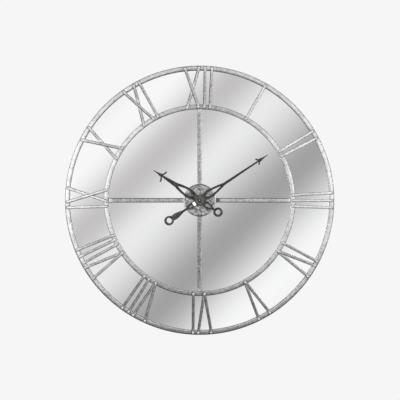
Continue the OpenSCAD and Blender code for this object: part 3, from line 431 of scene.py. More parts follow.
def strokes(hour):
    """The bars of one numeral, read clockwise with their feet to the centre, as (foot, head, cut by): spaced
    evenly about the hour, and then each laid off by its own small angles."""
    text = letters[hour % 12]
    off = laid_off[hour % 12]
    starts = {}
    for row, cross in (("head", head_span), ("foot", foot_span)):
        spans = {"I": 0, "V": head_span, "X": cross}
        at, places = 0, []
        for letter, following in zip(text, text[1:] + " "):
            places.append(at)
            at += spans[letter] + (stroke_pitch if letter == following == "I" else letter_gap)
        total = places[-1] + spans[text[-1]]
        starts[row] = [30 * hour - total / 2 + p for p in places]
    bars = []
    for letter, head, foot in zip(text, starts["head"], starts["foot"]):
        feet = {"I": (foot,), "V": (head + head_span / 2,) * 2, "X": (foot + foot_span, foot)}[letter]
        for n, a in enumerate(feet):
            foot_off, head_off = off[len(bars)]
            ends = dial(bar_in, a + foot_off), dial(bar_out, head + n * head_span + head_off)
            bars.append((*ends, bars[-1] if n else None))
    return bars


def turned(profile, count, at=(0, 0), closed=True):
    """A body of revolution about the depth: a profile of (radius, f) carried round [x, z] in count steps. The
    ends of an open profile are closed by a face each."""
    turn = np.linspace(0, 360, count, endpoint=False)[None, :]
    radius, f = np.asarray(profile, float).T[:, :, None]
    ground = dial(radius + 0 * turn, turn + 0 * radius)
    points = np.stack([ground[..., 0] + at[0], wall - (f + 0 * turn), ground[..., 1] + at[1]], -1)
    return skin(points, closed)


def weld_bead(at, front):
    """A flat round bead on a bar's face: half an oval turned round its middle. Its middle is darkened with
    painted shade, and it is painted bright towards its rim, a painted highlight, by the square of the
    distance."""
    radius, rise, sunk, count = 3.3, 1.1, 1.5, 28
    t = np.linspace(0.01, 1, 9) * math.pi / 2
    profile = np.stack([radius * np.sin(t), front + rise * np.cos(t)], -1)
    shell = turned(np.concatenate([profile, [[radius, front - sunk]]]), count, at, closed=False)
    wash = np.clip(0.45 - 3.2 * np.append(np.sin(t), 1) ** 2, -0.4, 1)
    return shell, np.repeat(wash, count)


def cut_runs(foot, head, through):
    """Runs at which a bar enters and leaves the room of the bar that it is cut by: (run, slope) of each."""
    own = (head - foot) / np.linalg.norm(head - foot)
    own_aside = np.array([own[1], -own[0]])
    other = (through[1] - through[0]) / np.linalg.norm(through[1] - through[0])
    normal = np.array([other[1], -other[0]])
    offset, rate, slope = normal @ (foot - through[0]), normal @ own, normal @ own_aside
    room = bar_width / 2 + cut_gap
    sides = sorted((side * room - offset) / rate for side in (-1, 1))
    return [(run, -slope / rate) for run in sides]


head_bead, foot_bead = 3.8, 5.0
bar_back, bar_front, bar_crown, cut_gap = ring_front - 0.6, ring_front + bar_thick, 1.6, 0.1
# Numeral edges: a share, a reach, an even part, and painted shade on the lower left, away from the light
bar_edge = 0.8, 2.6, 0.35, 1
# How much painted shade darkens each numeral, from one o'clock round to twelve: most on the lower ones
numeral_shade = [0.17, 0.0, 0.14, 0.46, 0.61, 0.7, 0.57, 0.41, 0.24, 0.4, 0.42, 0.42]
for hour in range(1, 13):
    shells, washes_and_shades = [], []
    for n, (foot, head, through) in enumerate(strokes(hour)):
        length = np.linalg.norm(head - foot)
        spans = [((0, 0), (0, 0))]
        if through:
            enters, leaves = cut_runs(foot, head, through)
            spans = [((0, 0), (enters[0] - length, enters[1])), (leaves, (0, 0))]
            spans = [s for s in spans if length + s[1][0] - s[0][0] > bar_width]
        for start, end in spans:
            shell, wash = straight_bar(foot, head, bar_width, bar_back, bar_front, bar_crown, 100 * hour + n,
                                       numeral_shade[hour - 1], bar_edge, start, end)
            shells.append(shell)
            washes_and_shades.append(wash.ravel())
        along = (head - foot) / length
        meets = through is not None and np.allclose(foot, through[0], atol=bar_width)
        for at in [head - along * head_bead] + ([] if meets else [foot + along * foot_bead]):
            shell, wash = weld_bead(at, bar_front)
            shells.append(shell)
            washes_and_shades.append(wash)
    piece(f"numeral_{hour}", shells, leaf, "silver_leaf", wash=np.concatenate(washes_and_shades))


# Centre plate.
# A round of sheet steel welded over the inner ends of the spokes, leafed like the bars, that the movement is
# clamped to from behind. Its rim is rounded over, and painted dark above and below and bright at both
# sides: painted shade and highlight. Its wash lies in soft stains.
plate_front, plate_bore, plate_dent = 28.0, 4.15, 0.14
face_radius = np.linspace(plate_bore, plate_radius - 1.6, 26)[::-1]
face_line = np.stack([face_radius, np.full(26, plate_front)], -1)
rim_line = np.array([[plate_bore, ring_front], [plate_radius, ring_front], [plate_radius, plate_front - 1.3],
                     [plate_radius - 0.35, plate_front - 0.55], [plate_radius - 0.95, plate_front - 0.12]])
plate_points, plate_faces = turned(np.concatenate([rim_line, face_line]), 240)
plate_x, plate_z = plate_points[..., 0], plate_points[..., 2]
# Waves that wander by other waves, so that neither dents nor stains lie in rows
closer, wander, slower = 1.2, 9, 0.7
plate_u = plate_x * closer + wander * dents(plate_z, plate_x * slower, 45)
plate_v = plate_z * closer + wander * dents(plate_x, plate_z * slower, 46)
on_face = wall - plate_points[..., 1] > plate_front - 0.01
plate_points[..., 1] += plate_dent - plate_dent * (on_face * dents(plate_u, plate_v, 41))
plate_far = np.hypot(plate_x, plate_z)
stain = 0.54 + 0.24 * dents(plate_u, plate_v, 44)
# Along the rim it is painted dark above and below, painted shade, and bright at both sides, a painted
# highlight
rim_share = np.clip((plate_far - plate_radius + 3.4) / 1.6, 0, 1)
rim_shade_and_highlight = 1.45 * (plate_z / plate_far) ** 2 - 0.25
plate_wash_and_shade = stain * (1 - rim_share) + rim_share * rim_shade_and_highlight
piece("centre_plate", [(plate_points, plate_faces)], leaf, "silver_leaf", wash=plate_wash_and_shade)


# Board clips and their screws.
# Eight strips of zinc-plated steel bent to an L, each with its foot screwed to the board and its leg behind
# the outer ring, so that board and glass are held in the frame. The screws have cross-recessed pan heads.

def eased(corners, radius, steps=5):
    """A closed profile with each corner rounded: a curve of the second degree from radius before the corner
    to radius after it."""
    corners = np.asarray(corners, float)
    before, after = np.roll(corners, 1, 0) - corners, np.roll(corners, -1, 0) - corners
    reach = [np.minimum(radius, 0.45 * np.linalg.norm(d, axis=1))[:, None] for d in (before, after)]
    p = corners + before / np.linalg.norm(before, axis=1)[:, None] * reach[0]
    q = corners + after / np.linalg.norm(after, axis=1)[:, None] * reach[1]
    t = np.linspace(0, 1, steps)[None, :, None]
    curve = (1 - t) ** 2 * p[:, None] + 2 * t * (1 - t) * corners[:, None] + t ** 2 * q[:, None]
    return curve.reshape(-1, 2)


def drawn(outline, along):
    """A bar of even section: an outline of points in space carried by the vector along, with closed ends."""
    return skin(np.stack([outline, outline + along]), False)


def zinc_steel():
    """Plated steel: a spangle of flat crystals of unlike brightness, dull handling marks and fine grain."""
    steel = Finish("zinc_steel")
    spangle = steel.node("ShaderNodeTexVoronoi", {}, {"Vector": steel.place(), "Scale": 380}, "Color")
    marks = steel.noise(70, 4, 0.6)
    grain = steel.noise(1600, 2, 0.6)
    tone = steel.between(spangle * 0.35 + marks * 0.65, 0.25, 0.75)
    colour = steel.mix(tone, (0.33, 0.335, 0.345), (0.56, 0.56, 0.555))
    return steel.surface(base_color=colour, metallic=0.95, roughness=0.30 + marks * 0.22,
                         normal=steel.bump(grain * 0.4 + marks * 0.6, 0.0001))


steel = zinc_steel()
board_back = 8.0
clip_width, clip_thick = 14.0, 1.5
clip_foot, clip_leg, screw_radius = 371.0, 395.0, 381.0
clip_back, leg_inside = board_back - clip_thick, clip_leg - clip_thick
clip_corners = [(clip_foot, board_back), (clip_foot, clip_back), (clip_leg, clip_back), (clip_leg, ring_back),
                (leg_inside, ring_back), (leg_inside, board_back)]
clip_line = eased(clip_corners, np.array([0.4, 0.4, 2.4, 0.4, 0.4, 1.0]))
clip_angles = 22.5 + 45 * np.arange(8)
clips = []
for angle in clip_angles:
    out, aside = dial(1, angle), dial(1, angle + 90)
    ground = clip_line[:, :1] * out - aside * clip_width / 2
    outline = np.stack([ground[:, 0], wall - clip_line[:, 1], ground[:, 1]], -1)
    clips.append(drawn(outline, np.array([aside[0], 0, aside[1]]) * clip_width))
piece("board_clips", clips, steel, "zinc_steel", bevel=0.3)


def cross_screw(at, seat, turn):
    """A pan-headed wood screw driven towards the front: rings from the middle of its head out, down its side,
    in under it and along the shank to a point. The head falls by a power of the radius, and two slots are
    sunk in it."""
    head, head_thick, shank, tip, tip_length = 3.0, 1.6, 1.5, board_back + 4.5, 1.5
    slot, reach, sunk = 0.42, 1.75, 0.75
    rings, count = 14, 40
    rise = np.linspace(0.01, 1, rings)
    top = np.stack([head * rise, seat - head_thick * (1 - 0.4 * rise ** 2.4)], -1)
    stem = [(head, seat), (shank, seat), (shank, tip - tip_length), (0.02, tip)]
    points, faces = turned(np.concatenate([top, stem]), count, at, closed=False)
    x, z = points[:rings, :, 0] - at[0], points[:rings, :, 2] - at[1]
    u, v = x * math.cos(turn) + z * math.sin(turn), z * math.cos(turn) - x * math.sin(turn)
    arms = [np.clip((slot - np.abs(a)) / 0.15 + 0.5, 0, 1) * np.clip((reach - np.abs(b)) / 0.3, 0, 1)
            for a, b in ((u, v), (v, u))]
    points[:rings, :, 1] -= sunk * np.maximum(*arms)
    return points, faces


def screws(name, places, seat, seed):
    """A set of like screws, each stopped at a turn of its own."""
    turns = np.random.default_rng(seed).uniform(0, math.pi / 2, len(places))
    shells = [cross_screw(at, seat, turn) for at, turn in zip(places, turns)]
    piece(name, shells, steel, "zinc_steel")


screws("clip_screws", [dial(screw_radius, a) for a in clip_angles], clip_back, 51)


# Hanger plate and its screws.
# A strip of plated steel with a keyhole pressed through it, screwed over a pocket near the top of the board.
# The wall screw's head goes in at the round of the keyhole, and its neck slides up the slot.

def circle(radius, at=0.0, aside=0.0):
    """Outline of a circle round a point, on the middle line unless it lies aside."""
    return dial(radius, np.linspace(360, 0, 96, endpoint=False)) + [aside, at]


def strip(low, high, width):
    """Outline of a straight strip along the middle line."""
    return np.array([[width / 2, low], [width / 2, high], [-width / 2, high], [-width / 2, low]])


def depth_in(outline, x, z):
    """Distance from each point to an outline, above 0 inside it."""
    inside = np.zeros(x.shape, bool)
    nearest = np.full(x.shape, np.inf)
    for (ax, az), (bx, bz) in zip(outline, np.roll(outline, -1, 0)):
        dx, dz = bx - ax, bz - az
        share = np.clip(((x - ax) * dx + (z - az) * dz) / max(dx * dx + dz * dz, 1e-12), 0, 1)
        nearest = np.minimum(nearest, np.hypot(x - ax - share * dx, z - az - share * dz))
        if abs(dz) > 1e-12:
            inside ^= ((az > z) != (bz > z)) & (x < ax + (z - az) * dx / dz)
    return np.where(inside, nearest, -nearest)


def sheet_cut(solids, holes, flat, rounded, angle=0, crown=0.25, cell=0.62):
    """A sheet cut to the union of outlines less its holes, as two faces over one square grid whose points
    next to the cut are drawn on to it, and a wall. One face is flat. The rounded one falls off to the cut as
    a quarter circle, and swells by crown with the distance from it. The sheet is turned clockwise by the
    angle. Returns the shell, and each point's depth in the cut."""
    soft, swell, step = 0.55, 4, 0.05
    near, slack = 0.52 * cell, 0.12 * cell
    low, high = np.concatenate(solids).min(0) - 2 * cell, np.concatenate(solids).max(0) + 2 * cell
    x, z = np.meshgrid(np.arange(low[0], high[0], cell), np.arange(low[1], high[1], cell), indexing="ij")

    def depth(x, z):
        made = np.max([depth_in(o, x, z) for o in solids], axis=0)
        return np.min([made] + [-depth_in(o, x, z) for o in holes], axis=0)

    d = depth(x, z)
    close = np.abs(d) < near
    cx, cz, cd = x[close], z[close], d[close]
    for _ in range(3):
        gx = (depth(cx + step, cz) - depth(cx - step, cz)) / (2 * step)
        gz = (depth(cx, cz + step) - depth(cx, cz - step)) / (2 * step)
        steep = np.maximum(gx * gx + gz * gz, 0.25)
        cx, cz = cx - cd * gx / steep, cz - cd * gz / steep
        cd = depth(cx, cz)
    x[close], z[close], d[close] = cx, cz, cd
    on = d > -slack
    n = np.arange(x.size).reshape(x.shape)
    corners = np.stack([n[:-1, :-1], n[1:, :-1], n[1:, 1:], n[:-1, 1:]], -1).reshape(-1, 4)
    kept = on.ravel()[corners]
    full = corners[kept.all(1)]
    three = kept.sum(1) == 3
    missing = np.argmin(kept[three], axis=1)
    order = (missing[:, None] + [1, 2, 3]) % 4
    triangles = np.concatenate([full[:, [0, 1, 2]], full[:, [0, 2, 3]],
                                np.take_along_axis(corners[three], order, 1)])
    used, triangles = np.unique(triangles, return_inverse=True)
    triangles = triangles.reshape(-1, 3)
    px, pz, pd = x.ravel()[used], z.ravel()[used], np.maximum(d.ravel()[used], 0)
    edges = np.concatenate([triangles[:, [0, 1]], triangles[:, [1, 2]], triangles[:, [2, 0]]])
    key = edges.min(1) * len(used) + edges.max(1)
    _, where, seen = np.unique(key, return_index=True, return_counts=True)
    border = edges[where[seen == 1]]
    pd[np.unique(border)] = 0
    fall = soft * (1 - np.sqrt(1 - (1 - np.clip(pd / soft, 0, 1)) ** 2))
    face = rounded - np.sign(rounded - flat) * (crown + fall - crown * np.clip(pd / swell, 0, 1))
    a = math.radians(angle)
    tx, tz = px * math.cos(a) + pz * math.sin(a), pz * math.cos(a) - px * math.sin(a)
    points = np.concatenate([np.stack([tx, wall - f, tz], -1) for f in (face, np.full(len(tx), flat))])
    count = len(used)
    wall_faces = np.stack([border[:, 0], border[:, 0] + count, border[:, 1] + count, border[:, 1]], -1)
    faces = triangles.tolist() + (triangles[:, ::-1] + count).tolist() + wall_faces.tolist()
    return (points, faces), np.concatenate([pd, pd])


hanger_z, hanger_width, hanger_height, hanger_back = 320.0, 70.0, 36.0, board_back - 2.0
keyhole_z, keyhole_rise, keyhole_bore, keyhole_slot = 314.0, 12.0, 10.0, 5.0
hanger_screws_at = [(-26.0, hanger_z), (26.0, hanger_z)]
hanger_corners = strip(hanger_z - hanger_height / 2, hanger_z + hanger_height / 2, hanger_width)
keyhole = [circle(keyhole_bore / 2, keyhole_z), strip(keyhole_z, keyhole_z + keyhole_rise, keyhole_slot),
           circle(keyhole_slot / 2, keyhole_z + keyhole_rise)]
screw_holes = [circle(1.6, z, x) for x, z in hanger_screws_at]
hanger_shell, _ = sheet_cut([eased(hanger_corners, 3.0)], keyhole + screw_holes, board_back, hanger_back,
                            crown=0.12)
piece("hanger_plate", [hanger_shell], steel, "zinc_steel", sharp=50.0)
screws("hanger_screws", hanger_screws_at, hanger_back, 52)


# Wall bumpers.
# Four moulded rubber feet glued to the board, with a domed face that keeps the clock off the wall.

def moulded_rubber():
    """Black rubber: a dull even skin with fine grain, and paler dust where it has been handled."""
    rubber = Finish("moulded_rubber")
    grain = rubber.noise(1500, 2, 0.6)
    dust = rubber.between(rubber.noise(90, 4, 0.65), 0.5, 0.8)
    return rubber.surface(base_color=rubber.mix(dust * 0.5, (0.018, 0.018, 0.019), (0.055, 0.053, 0.05)),
                          roughness=0.62 + grain * 0.2 + dust * 0.1, normal=rubber.bump(grain, 0.00008))


rubber = moulded_rubber()
bumper_radius = 340.0
bumper_line = np.array([[7.6, board_back], [8.0, board_back - 0.5], [7.8, 2.6], [7.55, 1.75], [7.0, 1.05],
                        [6.1, 0.6], [5.0, 0.3], [3.6, 0.12], [2.0, 0.02], [1.6, 0.05], [1.3, 0.3],
                        [0.05, 0.34]])
bumpers = [turned(bumper_line, 56, dial(bumper_radius, 45 + 90 * i), closed=False) for i in range(4)]
piece("wall_bumpers", bumpers, rubber, "rubber", sharp=50.0)


# Movement case, its cover and the gasket.
# A box moulded in black plastic, whose threaded bushing goes through the centre plate with a rubber gasket
# between. The cover is snapped on from behind, open for the battery and bored for the setting shaft.

def case_plastic():
    """Black moulded plastic: a spark-textured skin, slight flow clouds, and rub marks that shine a little."""
    plastic = Finish("case_plastic")
    texture = plastic.noise(2200, 2, 0.7)
    flow = plastic.noise(45, 4, 0.6)
    rubs = plastic.between(plastic.noise(160, 5, 0.7), 0.56, 0.72)
    colour = plastic.mix(plastic.between(flow, 0.3, 0.7), (0.016, 0.016, 0.017), (0.030, 0.030, 0.031))
    return plastic.surface(base_color=plastic.mix(rubs * 0.25, colour, (0.07, 0.07, 0.07)),
                           roughness=0.52 + texture * 0.12 - rubs * 0.12,
                           normal=plastic.bump(texture, 0.00006))


plastic = case_plastic()
dress(plastic, "movement_base")
dress(rubber, "gasket")
cover_inner, cover_outer = 7.5, 6.0
case_width, case_corner = 56.0, 4.0
bay_low, bay_high, bay_width = -26.4, -11.4, 53.0
setting_at, shaft_hole = (16.3923, 16.3923), 2.0
cover_shell, cover_depth = sheet_cut(
    [eased(strip(-case_width / 2, case_width / 2, case_width), case_corner)],
    [strip(bay_low, bay_high, bay_width), circle(shaft_hole, setting_at[1], setting_at[0])],
    cover_inner, cover_outer, crown=0.1, cell=0.45)
cover_face = cover_shell[0][:len(cover_depth) // 2]
cover_x, cover_z = cover_face[:, 0], cover_face[:, 2]
# A ring round the knob and the signs of the cell's two ends are raised, and a line inside the rim is sunk
knob_ring, ring_half = 8.6, 0.7
rim_groove, groove_half = 2.4, 0.4
mark_x, mark_z, mark_reach, mark_half, mark_slope = 22.0, -8.0, 2.0, 0.45, 0.3


def sign_bar(u, v):
    """A short bar of a sign: 1 within its reach along u and half its width across v, and 0 past a slope."""
    return np.clip((mark_reach - u) / mark_slope, 0, 1) * np.clip((mark_half - v) / mark_slope + 0.5, 0, 1)


from_shaft = np.hypot(cover_x - setting_at[0], cover_z - setting_at[1])
cover_ring = np.exp(-((from_shaft - knob_ring) / ring_half) ** 4)
cover_line = np.exp(-((cover_depth[:len(cover_face)] - rim_groove) / groove_half) ** 2)
plus, minus = ((np.abs(cover_x - x), np.abs(cover_z - mark_z)) for x in (mark_x, -mark_x))
cover_marks = np.max([sign_bar(*plus), sign_bar(*plus[::-1]), sign_bar(*minus)], axis=0)
cover_face[:, 1] += 0.35 * cover_ring + 0.3 * cover_marks - 0.3 * cover_line * (cover_z > bay_high + 1)
piece("movement_cover", [cover_shell], plastic, "case_plastic", sharp=50.0)


# Train bridge, wheels and setting pinion.
# The wheels run between the case floor and a moulded bridge that four small screws hold down. The bridge and
# the light wheels are ivory plastic. The centre wheel, with the minute arbor, and the hour wheel are brass.

def gear_plastic():
    """Ivory moulded plastic: waxy, with faint flow clouds, and a little grease in patches."""
    ivory = Finish("gear_plastic")
    flow = ivory.noise(120, 4, 0.6)
    grease = ivory.between(ivory.noise(300, 3, 0.6), 0.55, 0.75)
    colour = ivory.mix(flow, (0.66, 0.63, 0.55), (0.80, 0.78, 0.71))
    return ivory.surface(base_color=ivory.mix(grease * 0.2, colour, (0.52, 0.47, 0.36)),
                         roughness=0.42 - grease * 0.12 + flow * 0.1, normal=ivory.bump(flow, 0.00004))


def turned_brass():
    """Brass: lathe grain, warm and cool patches, and a brown tarnish in places."""
    brass = Finish("turned_brass")
    patches = brass.noise(180, 4, 0.6)
    grain = brass.noise(2600, 2, 0.6)
    tarnish = brass.between(brass.noise(90, 4, 0.65), 0.52, 0.75)
    colour = brass.mix(patches, (0.60, 0.42, 0.17), (0.74, 0.56, 0.27))
    return brass.surface(base_color=brass.mix(tarnish * 0.55, colour, (0.27, 0.18, 0.08)),
                         metallic=0.95 - tarnish * 0.15, roughness=0.26 + grain * 0.14 + tarnish * 0.2,
                         normal=brass.bump(grain, 0.00003))


ivory, brass = gear_plastic(), turned_brass()
dress(ivory, "train_bridge", "motion_wheel", "third_wheel", "second_wheel", "step_wheel", "setting_pinion")
dress(brass, "centre_wheel", "hour_wheel")
dress(steel, "bridge_screws")


# Setting knob.
# A ribbed plastic thumb knob pressed on the setting shaft where it comes out of the cover.

def ribbed(profile, ribs, steps, share, at=(0, 0), power=1):
    """A body of revolution with ribs round it: each point's radius is less by its share of the profile's own,
    times a power of a wave from 0 to 1 that goes round once in each rib's steps."""
    points, faces = turned(profile, ribs * steps, at)
    wave = (0.5 - 0.5 * np.cos(np.arange(ribs * steps) * 2 * math.pi / steps)) ** power
    scale = 1 - share[:, None] * wave
    for axis, middle in zip((0, 2), at):
        points[..., axis] = middle + (points[..., axis] - middle) * scale
    return points, faces


knob_back, knob_front, knob_ribs, rib_depth = 2.2, 5.2, 30, 0.4
knob_line = np.array([[1.45, knob_front], [5.3, knob_front], [5.75, knob_front - 0.25],
                      [6.0, knob_front - 0.7], [6.0, knob_back + 0.9], [5.85, knob_back + 0.45],
                      [5.5, knob_back + 0.12], [5.0, knob_back], [4.1, knob_back + 0.05],
                      [3.6, knob_back + 0.5], [2.4, knob_back + 0.6], [2.1, knob_back + 0.3],
                      [1.45, knob_back + 0.3]])
rib_share = rib_depth * np.clip((knob_line[:, 0] - 4.9) / 0.8, 0, 1) / knob_line[:, 0]
knob = ribbed(knob_line, knob_ribs, 8, rib_share, setting_at, 2)
piece("setting_knob", [knob], plastic, "case_plastic", "setting", sharp=50.0)


# Circuit and stepping motor.
# A small green board with a potted chip and a can for the crystal, and a motor of a copper coil on an iron
# core, a stamped stator and a magnet rotor.

def circuit_green():
    """Solder mask over copper: paler tracks in steps, a black blob over the chip, and a bright can."""
    circuit = Finish("circuit_green")
    x, z = circuit.axis("X"), circuit.axis("Z")
    tracks = circuit.node("ShaderNodeTexBrick", {"offset": 0.5},
                          {"Vector": circuit.place(), "Scale": 260, "Mortar Size": 0.05}, "Fac")
    speck = circuit.noise(900, 2, 0.6)
    mask = circuit.mix(tracks * 0.6, (0.012, 0.085, 0.035), (0.05, 0.19, 0.085))
    from_chip_x, from_chip_z = x + 7.33 * mm, z + 1.7 * mm
    far_square = from_chip_x * from_chip_x + from_chip_z * from_chip_z
    blob = 1 - circuit.between(far_square, 11.8 * mm ** 2, 13.0 * mm ** 2)
    can = circuit.within(x, 0.00020, 0.00247, 0.00002)
    chip = circuit.mix(blob, mask, (0.012, 0.012, 0.013))
    return circuit.surface(base_color=circuit.mix(can, chip, (0.55, 0.55, 0.56)), metallic=can * 0.9,
                           roughness=0.34 + speck * 0.15,
                           normal=circuit.bump(tracks * 0.5 + speck * 0.3, 0.00004))


def motor_iron():
    """Stamped soft iron: grey, with sheared-edge grain and faint oil."""
    iron = Finish("motor_iron")
    oil = iron.noise(140, 4, 0.6)
    grain = iron.noise(2400, 2, 0.6)
    return iron.surface(base_color=iron.mix(oil, (0.25, 0.25, 0.255), (0.43, 0.42, 0.41)), metallic=0.9,
                        roughness=0.32 + oil * 0.2, normal=iron.bump(grain, 0.00004))


def coil_wire():
    """Enamelled copper wound in close turns: a fine wave along the bobbin, over paler and darker lengths."""
    coil = Finish("coil_wire")
    turns = coil.node("ShaderNodeTexWave", {"bands_direction": "X"},
                      {"Vector": coil.place(), "Scale": 900, "Distortion": 0.6, "Detail": 1}, "Fac")
    tone = coil.noise(300, 3, 0.6)
    copper = coil.mix(turns * 0.6 + tone * 0.4, (0.24, 0.075, 0.03), (0.62, 0.27, 0.12))
    return coil.surface(base_color=copper, metallic=0.85, roughness=0.3 + tone * 0.15,
                        normal=coil.bump(turns, 0.00008))


dress(circuit_green(), "circuit_board")
dress(motor_iron(), "stator", "coil_core", "rotor")
dress(coil_wire(), "motor_coil")


# Battery cell and its contacts.
# A small round cell in a plain shrunk film, between a flat plated contact and one with a conical wire spring.
cell_y, cell_z = wall - 15.0, -18.9
cell_line = np.array([[-24.4, 0.05], [-24.4, 4.9], [-24.25, 5.3], [-24.25, 6.0], [-24.4, 6.3], [-24.35, 6.75],
                      [-24.1, 7.02], [-23.7, 7.1], [-23.55, 7.22], [-23.2, 7.25], [-12, 7.25], [0, 7.25],
                      [12, 7.25], [23.9, 7.25], [24.25, 7.22], [24.4, 7.1], [24.75, 7.0], [25.0, 6.7],
                      [25.1, 6.2], [25.1, 3.3], [25.2, 2.85], [25.4, 2.7], [25.85, 2.7], [26.05, 2.55],
                      [26.1, 2.2], [26.1, 0.05]])
cell_x, cell_radius = cell_line[:, :1], cell_line[:, 1:]
cell_turn = np.linspace(0, 2 * math.pi, 72, endpoint=False)[None, :]
cell_points = np.stack([cell_x + 0 * cell_turn, cell_y + cell_radius * np.cos(cell_turn),
                        cell_z + cell_radius * np.sin(cell_turn)], -1)


def cell_wrap():
    """Shrunk film on a steel can: charcoal with one pale band and a thin ring, drawn tight with faint
    creases, and bare bright steel past its two ends."""
    film = Finish("cell_wrap")
    x = film.axis("X")
    bare = 1 - film.within(x, -0.02362, 0.02438, 0.00006)
    band = film.within(x, 0.0098, 0.0189, 0.0001)
    ring = film.within(x, 0.0072, 0.0082, 0.0001)
    creases = film.noise(150, 3, 0.6)
    scuffs = film.between(film.noise(500, 4, 0.7), 0.6, 0.75)
    ink = film.mix(band, (0.024, 0.026, 0.03), (0.40, 0.41, 0.42))
    ringed = film.mix(ring, ink, (0.36, 0.37, 0.38))
    worn = film.mix(scuffs * 0.3, ringed, (0.14, 0.14, 0.14))
    can = film.mix(creases, (0.46, 0.46, 0.46), (0.62, 0.61, 0.60))
    return film.surface(base_color=film.mix(bare, worn, can), metallic=bare * 0.95,
                        roughness=0.26 + scuffs * 0.2 + creases * 0.08, normal=film.bump(creases, 0.0001))


piece("battery_cell", [skin(cell_points, False)], cell_wrap(), "cell_wrap")


def wire(path, radius):
    """A round wire: a circle of ten points, square to the path, carried along the path."""
    ahead = np.gradient(path, axis=0)
    side = np.cross(ahead, [1.0, 0, 0])
    up = np.cross(side, ahead)
    side, up = (v / np.linalg.norm(v, axis=1)[:, None] for v in (side, up))
    turn = np.linspace(0, 2 * math.pi, 10, endpoint=False)[None, :, None]
    ring = side[:, None] * np.cos(turn) + up[:, None] * np.sin(turn)
    return skin(path[:, None] + radius * ring, False)


contact_x, contact_thick, contact_width = 26.5, 0.4, 9.0
contact_square = eased(strip(cell_z - contact_width / 2, cell_z + contact_width / 2, contact_width), 1.2)
contact_line = np.stack([np.full(len(contact_square), -contact_x), cell_y + contact_square[:, 0],
                         contact_square[:, 1]], -1)
wire_radius, spring_turns, spring_length = 0.28, 2.6, 1.1
spring = np.linspace(0, 1, 90)
spring_radius, spring_turn = 4.1 - 1.9 * spring, spring * spring_turns * 2 * math.pi
spring_x = -contact_x + contact_thick + wire_radius + spring * spring_length
spring_path = np.stack([spring_x, cell_y + spring_radius * np.cos(spring_turn),
                        cell_z + spring_radius * np.sin(spring_turn)], -1)
contact = drawn(contact_line, np.array([contact_thick, 0, 0]))
piece("negative_contact", [contact, wire(spring_path, wire_radius)], steel, "zinc_steel")
dress(steel, "positive_contact")


# Washer and bushing nut.
# A brass washer and a thin hexagon nut on the bushing, drawn tight on the centre plate so that the movement
# hangs from it.
dress(brass, "washer", "bushing_nut")


# Hands.
# Two pierced hands cut from sheet, painted dark grey and rubbed back on their edges, with a painted
# highlight near the hub on the minute hand's tail. The hour hand is pressed on its tube, and the minute
# hand on the arbor in front of it, under a round nut whose crown is worn bare and painted paler: a painted
# highlight.
hand_thick = 1.6


def lens(a, b, width, peak):
    """Outline of a lens from a to b along a hand: half width = sin of a power of the run, widest at peak."""
    run = np.linspace(0, 1, 61)
    skew = math.log(0.5) / math.log((peak - a) / (b - a))
    half = width / 2 * np.sin(math.pi * run ** skew)
    right = np.stack([half, a + (b - a) * run], -1)
    return np.concatenate([right, (right * [-1, 1])[-2:0:-1]])


def arrow(shaft, shaft_w0, shaft_w1, root, tip, head_w, reach, fall, barb_w):
    """Outline of a shaft and arrow head: up the shaft, out under a barb that falls as a parabola, back over
    it and up the blade, which narrows as the square of what is left, and down the mirrored side."""
    tip_w = 2.0
    t = np.linspace(0, 1, 13)
    under, over = shaft_w1 / 2 / reach, head_w / 2 / reach
    out, back = under + (1 - under) * t, 1 - (1 - over) * t
    drop = [np.stack([reach * r, root - fall * (2 * r - r * r)], -1) for r in (out, back)]
    blade = np.stack([tip_w / 2 + (head_w - tip_w) / 2 * (1 - t) ** 2, root + (tip - root) * t], -1)
    half_barb = [0, barb_w / 2]
    right = np.concatenate([[[shaft_w0 / 2, shaft]], drop[0] - half_barb, drop[1] + half_barb, blade])
    return np.concatenate([right, (right * [-1, 1])[::-1]])


def hand_paint():
    """Dark paint on sheet metal: cloudy greys, brush grain, and paler metal rubbed bare along the edges.
    Where the tone of a point is 2, it is painted near-white: a painted highlight."""
    paint = Finish("hand_paint")
    edge = paint.node("ShaderNodeAttribute", {"attribute_name": "rubbed"}, {}, "Fac")
    clouds = paint.noise(130, 4, 0.6)
    grain = paint.noise(420, 3, 0.7)
    coat = paint.mix(paint.between(clouds, 0.3, 0.7), (0.006, 0.006, 0.0058), (0.048, 0.047, 0.0445))
    bare = paint.between(edge + clouds * 0.9 + grain * 0.3 - 0.6, 0.35, 0.95)
    # Painted highlight: near-white where the tone is above 1.3
    bright = paint.between(edge, 1.3, 1.8)
    worn = paint.mix(bare * 0.5, coat, (0.20, 0.197, 0.193))
    return paint.surface(base_color=paint.mix(bright, worn, (0.95, 0.95, 0.94)),
                         metallic=0.2 + bare * 0.3 + bright * 0.5,
                         roughness=0.46 + grain * 0.2, specular_ior_level=0.2,
                         normal=paint.bump(grain * 0.5 + clouds * 0.5 - bright * 0.4, 0.0002))


painted = hand_paint()


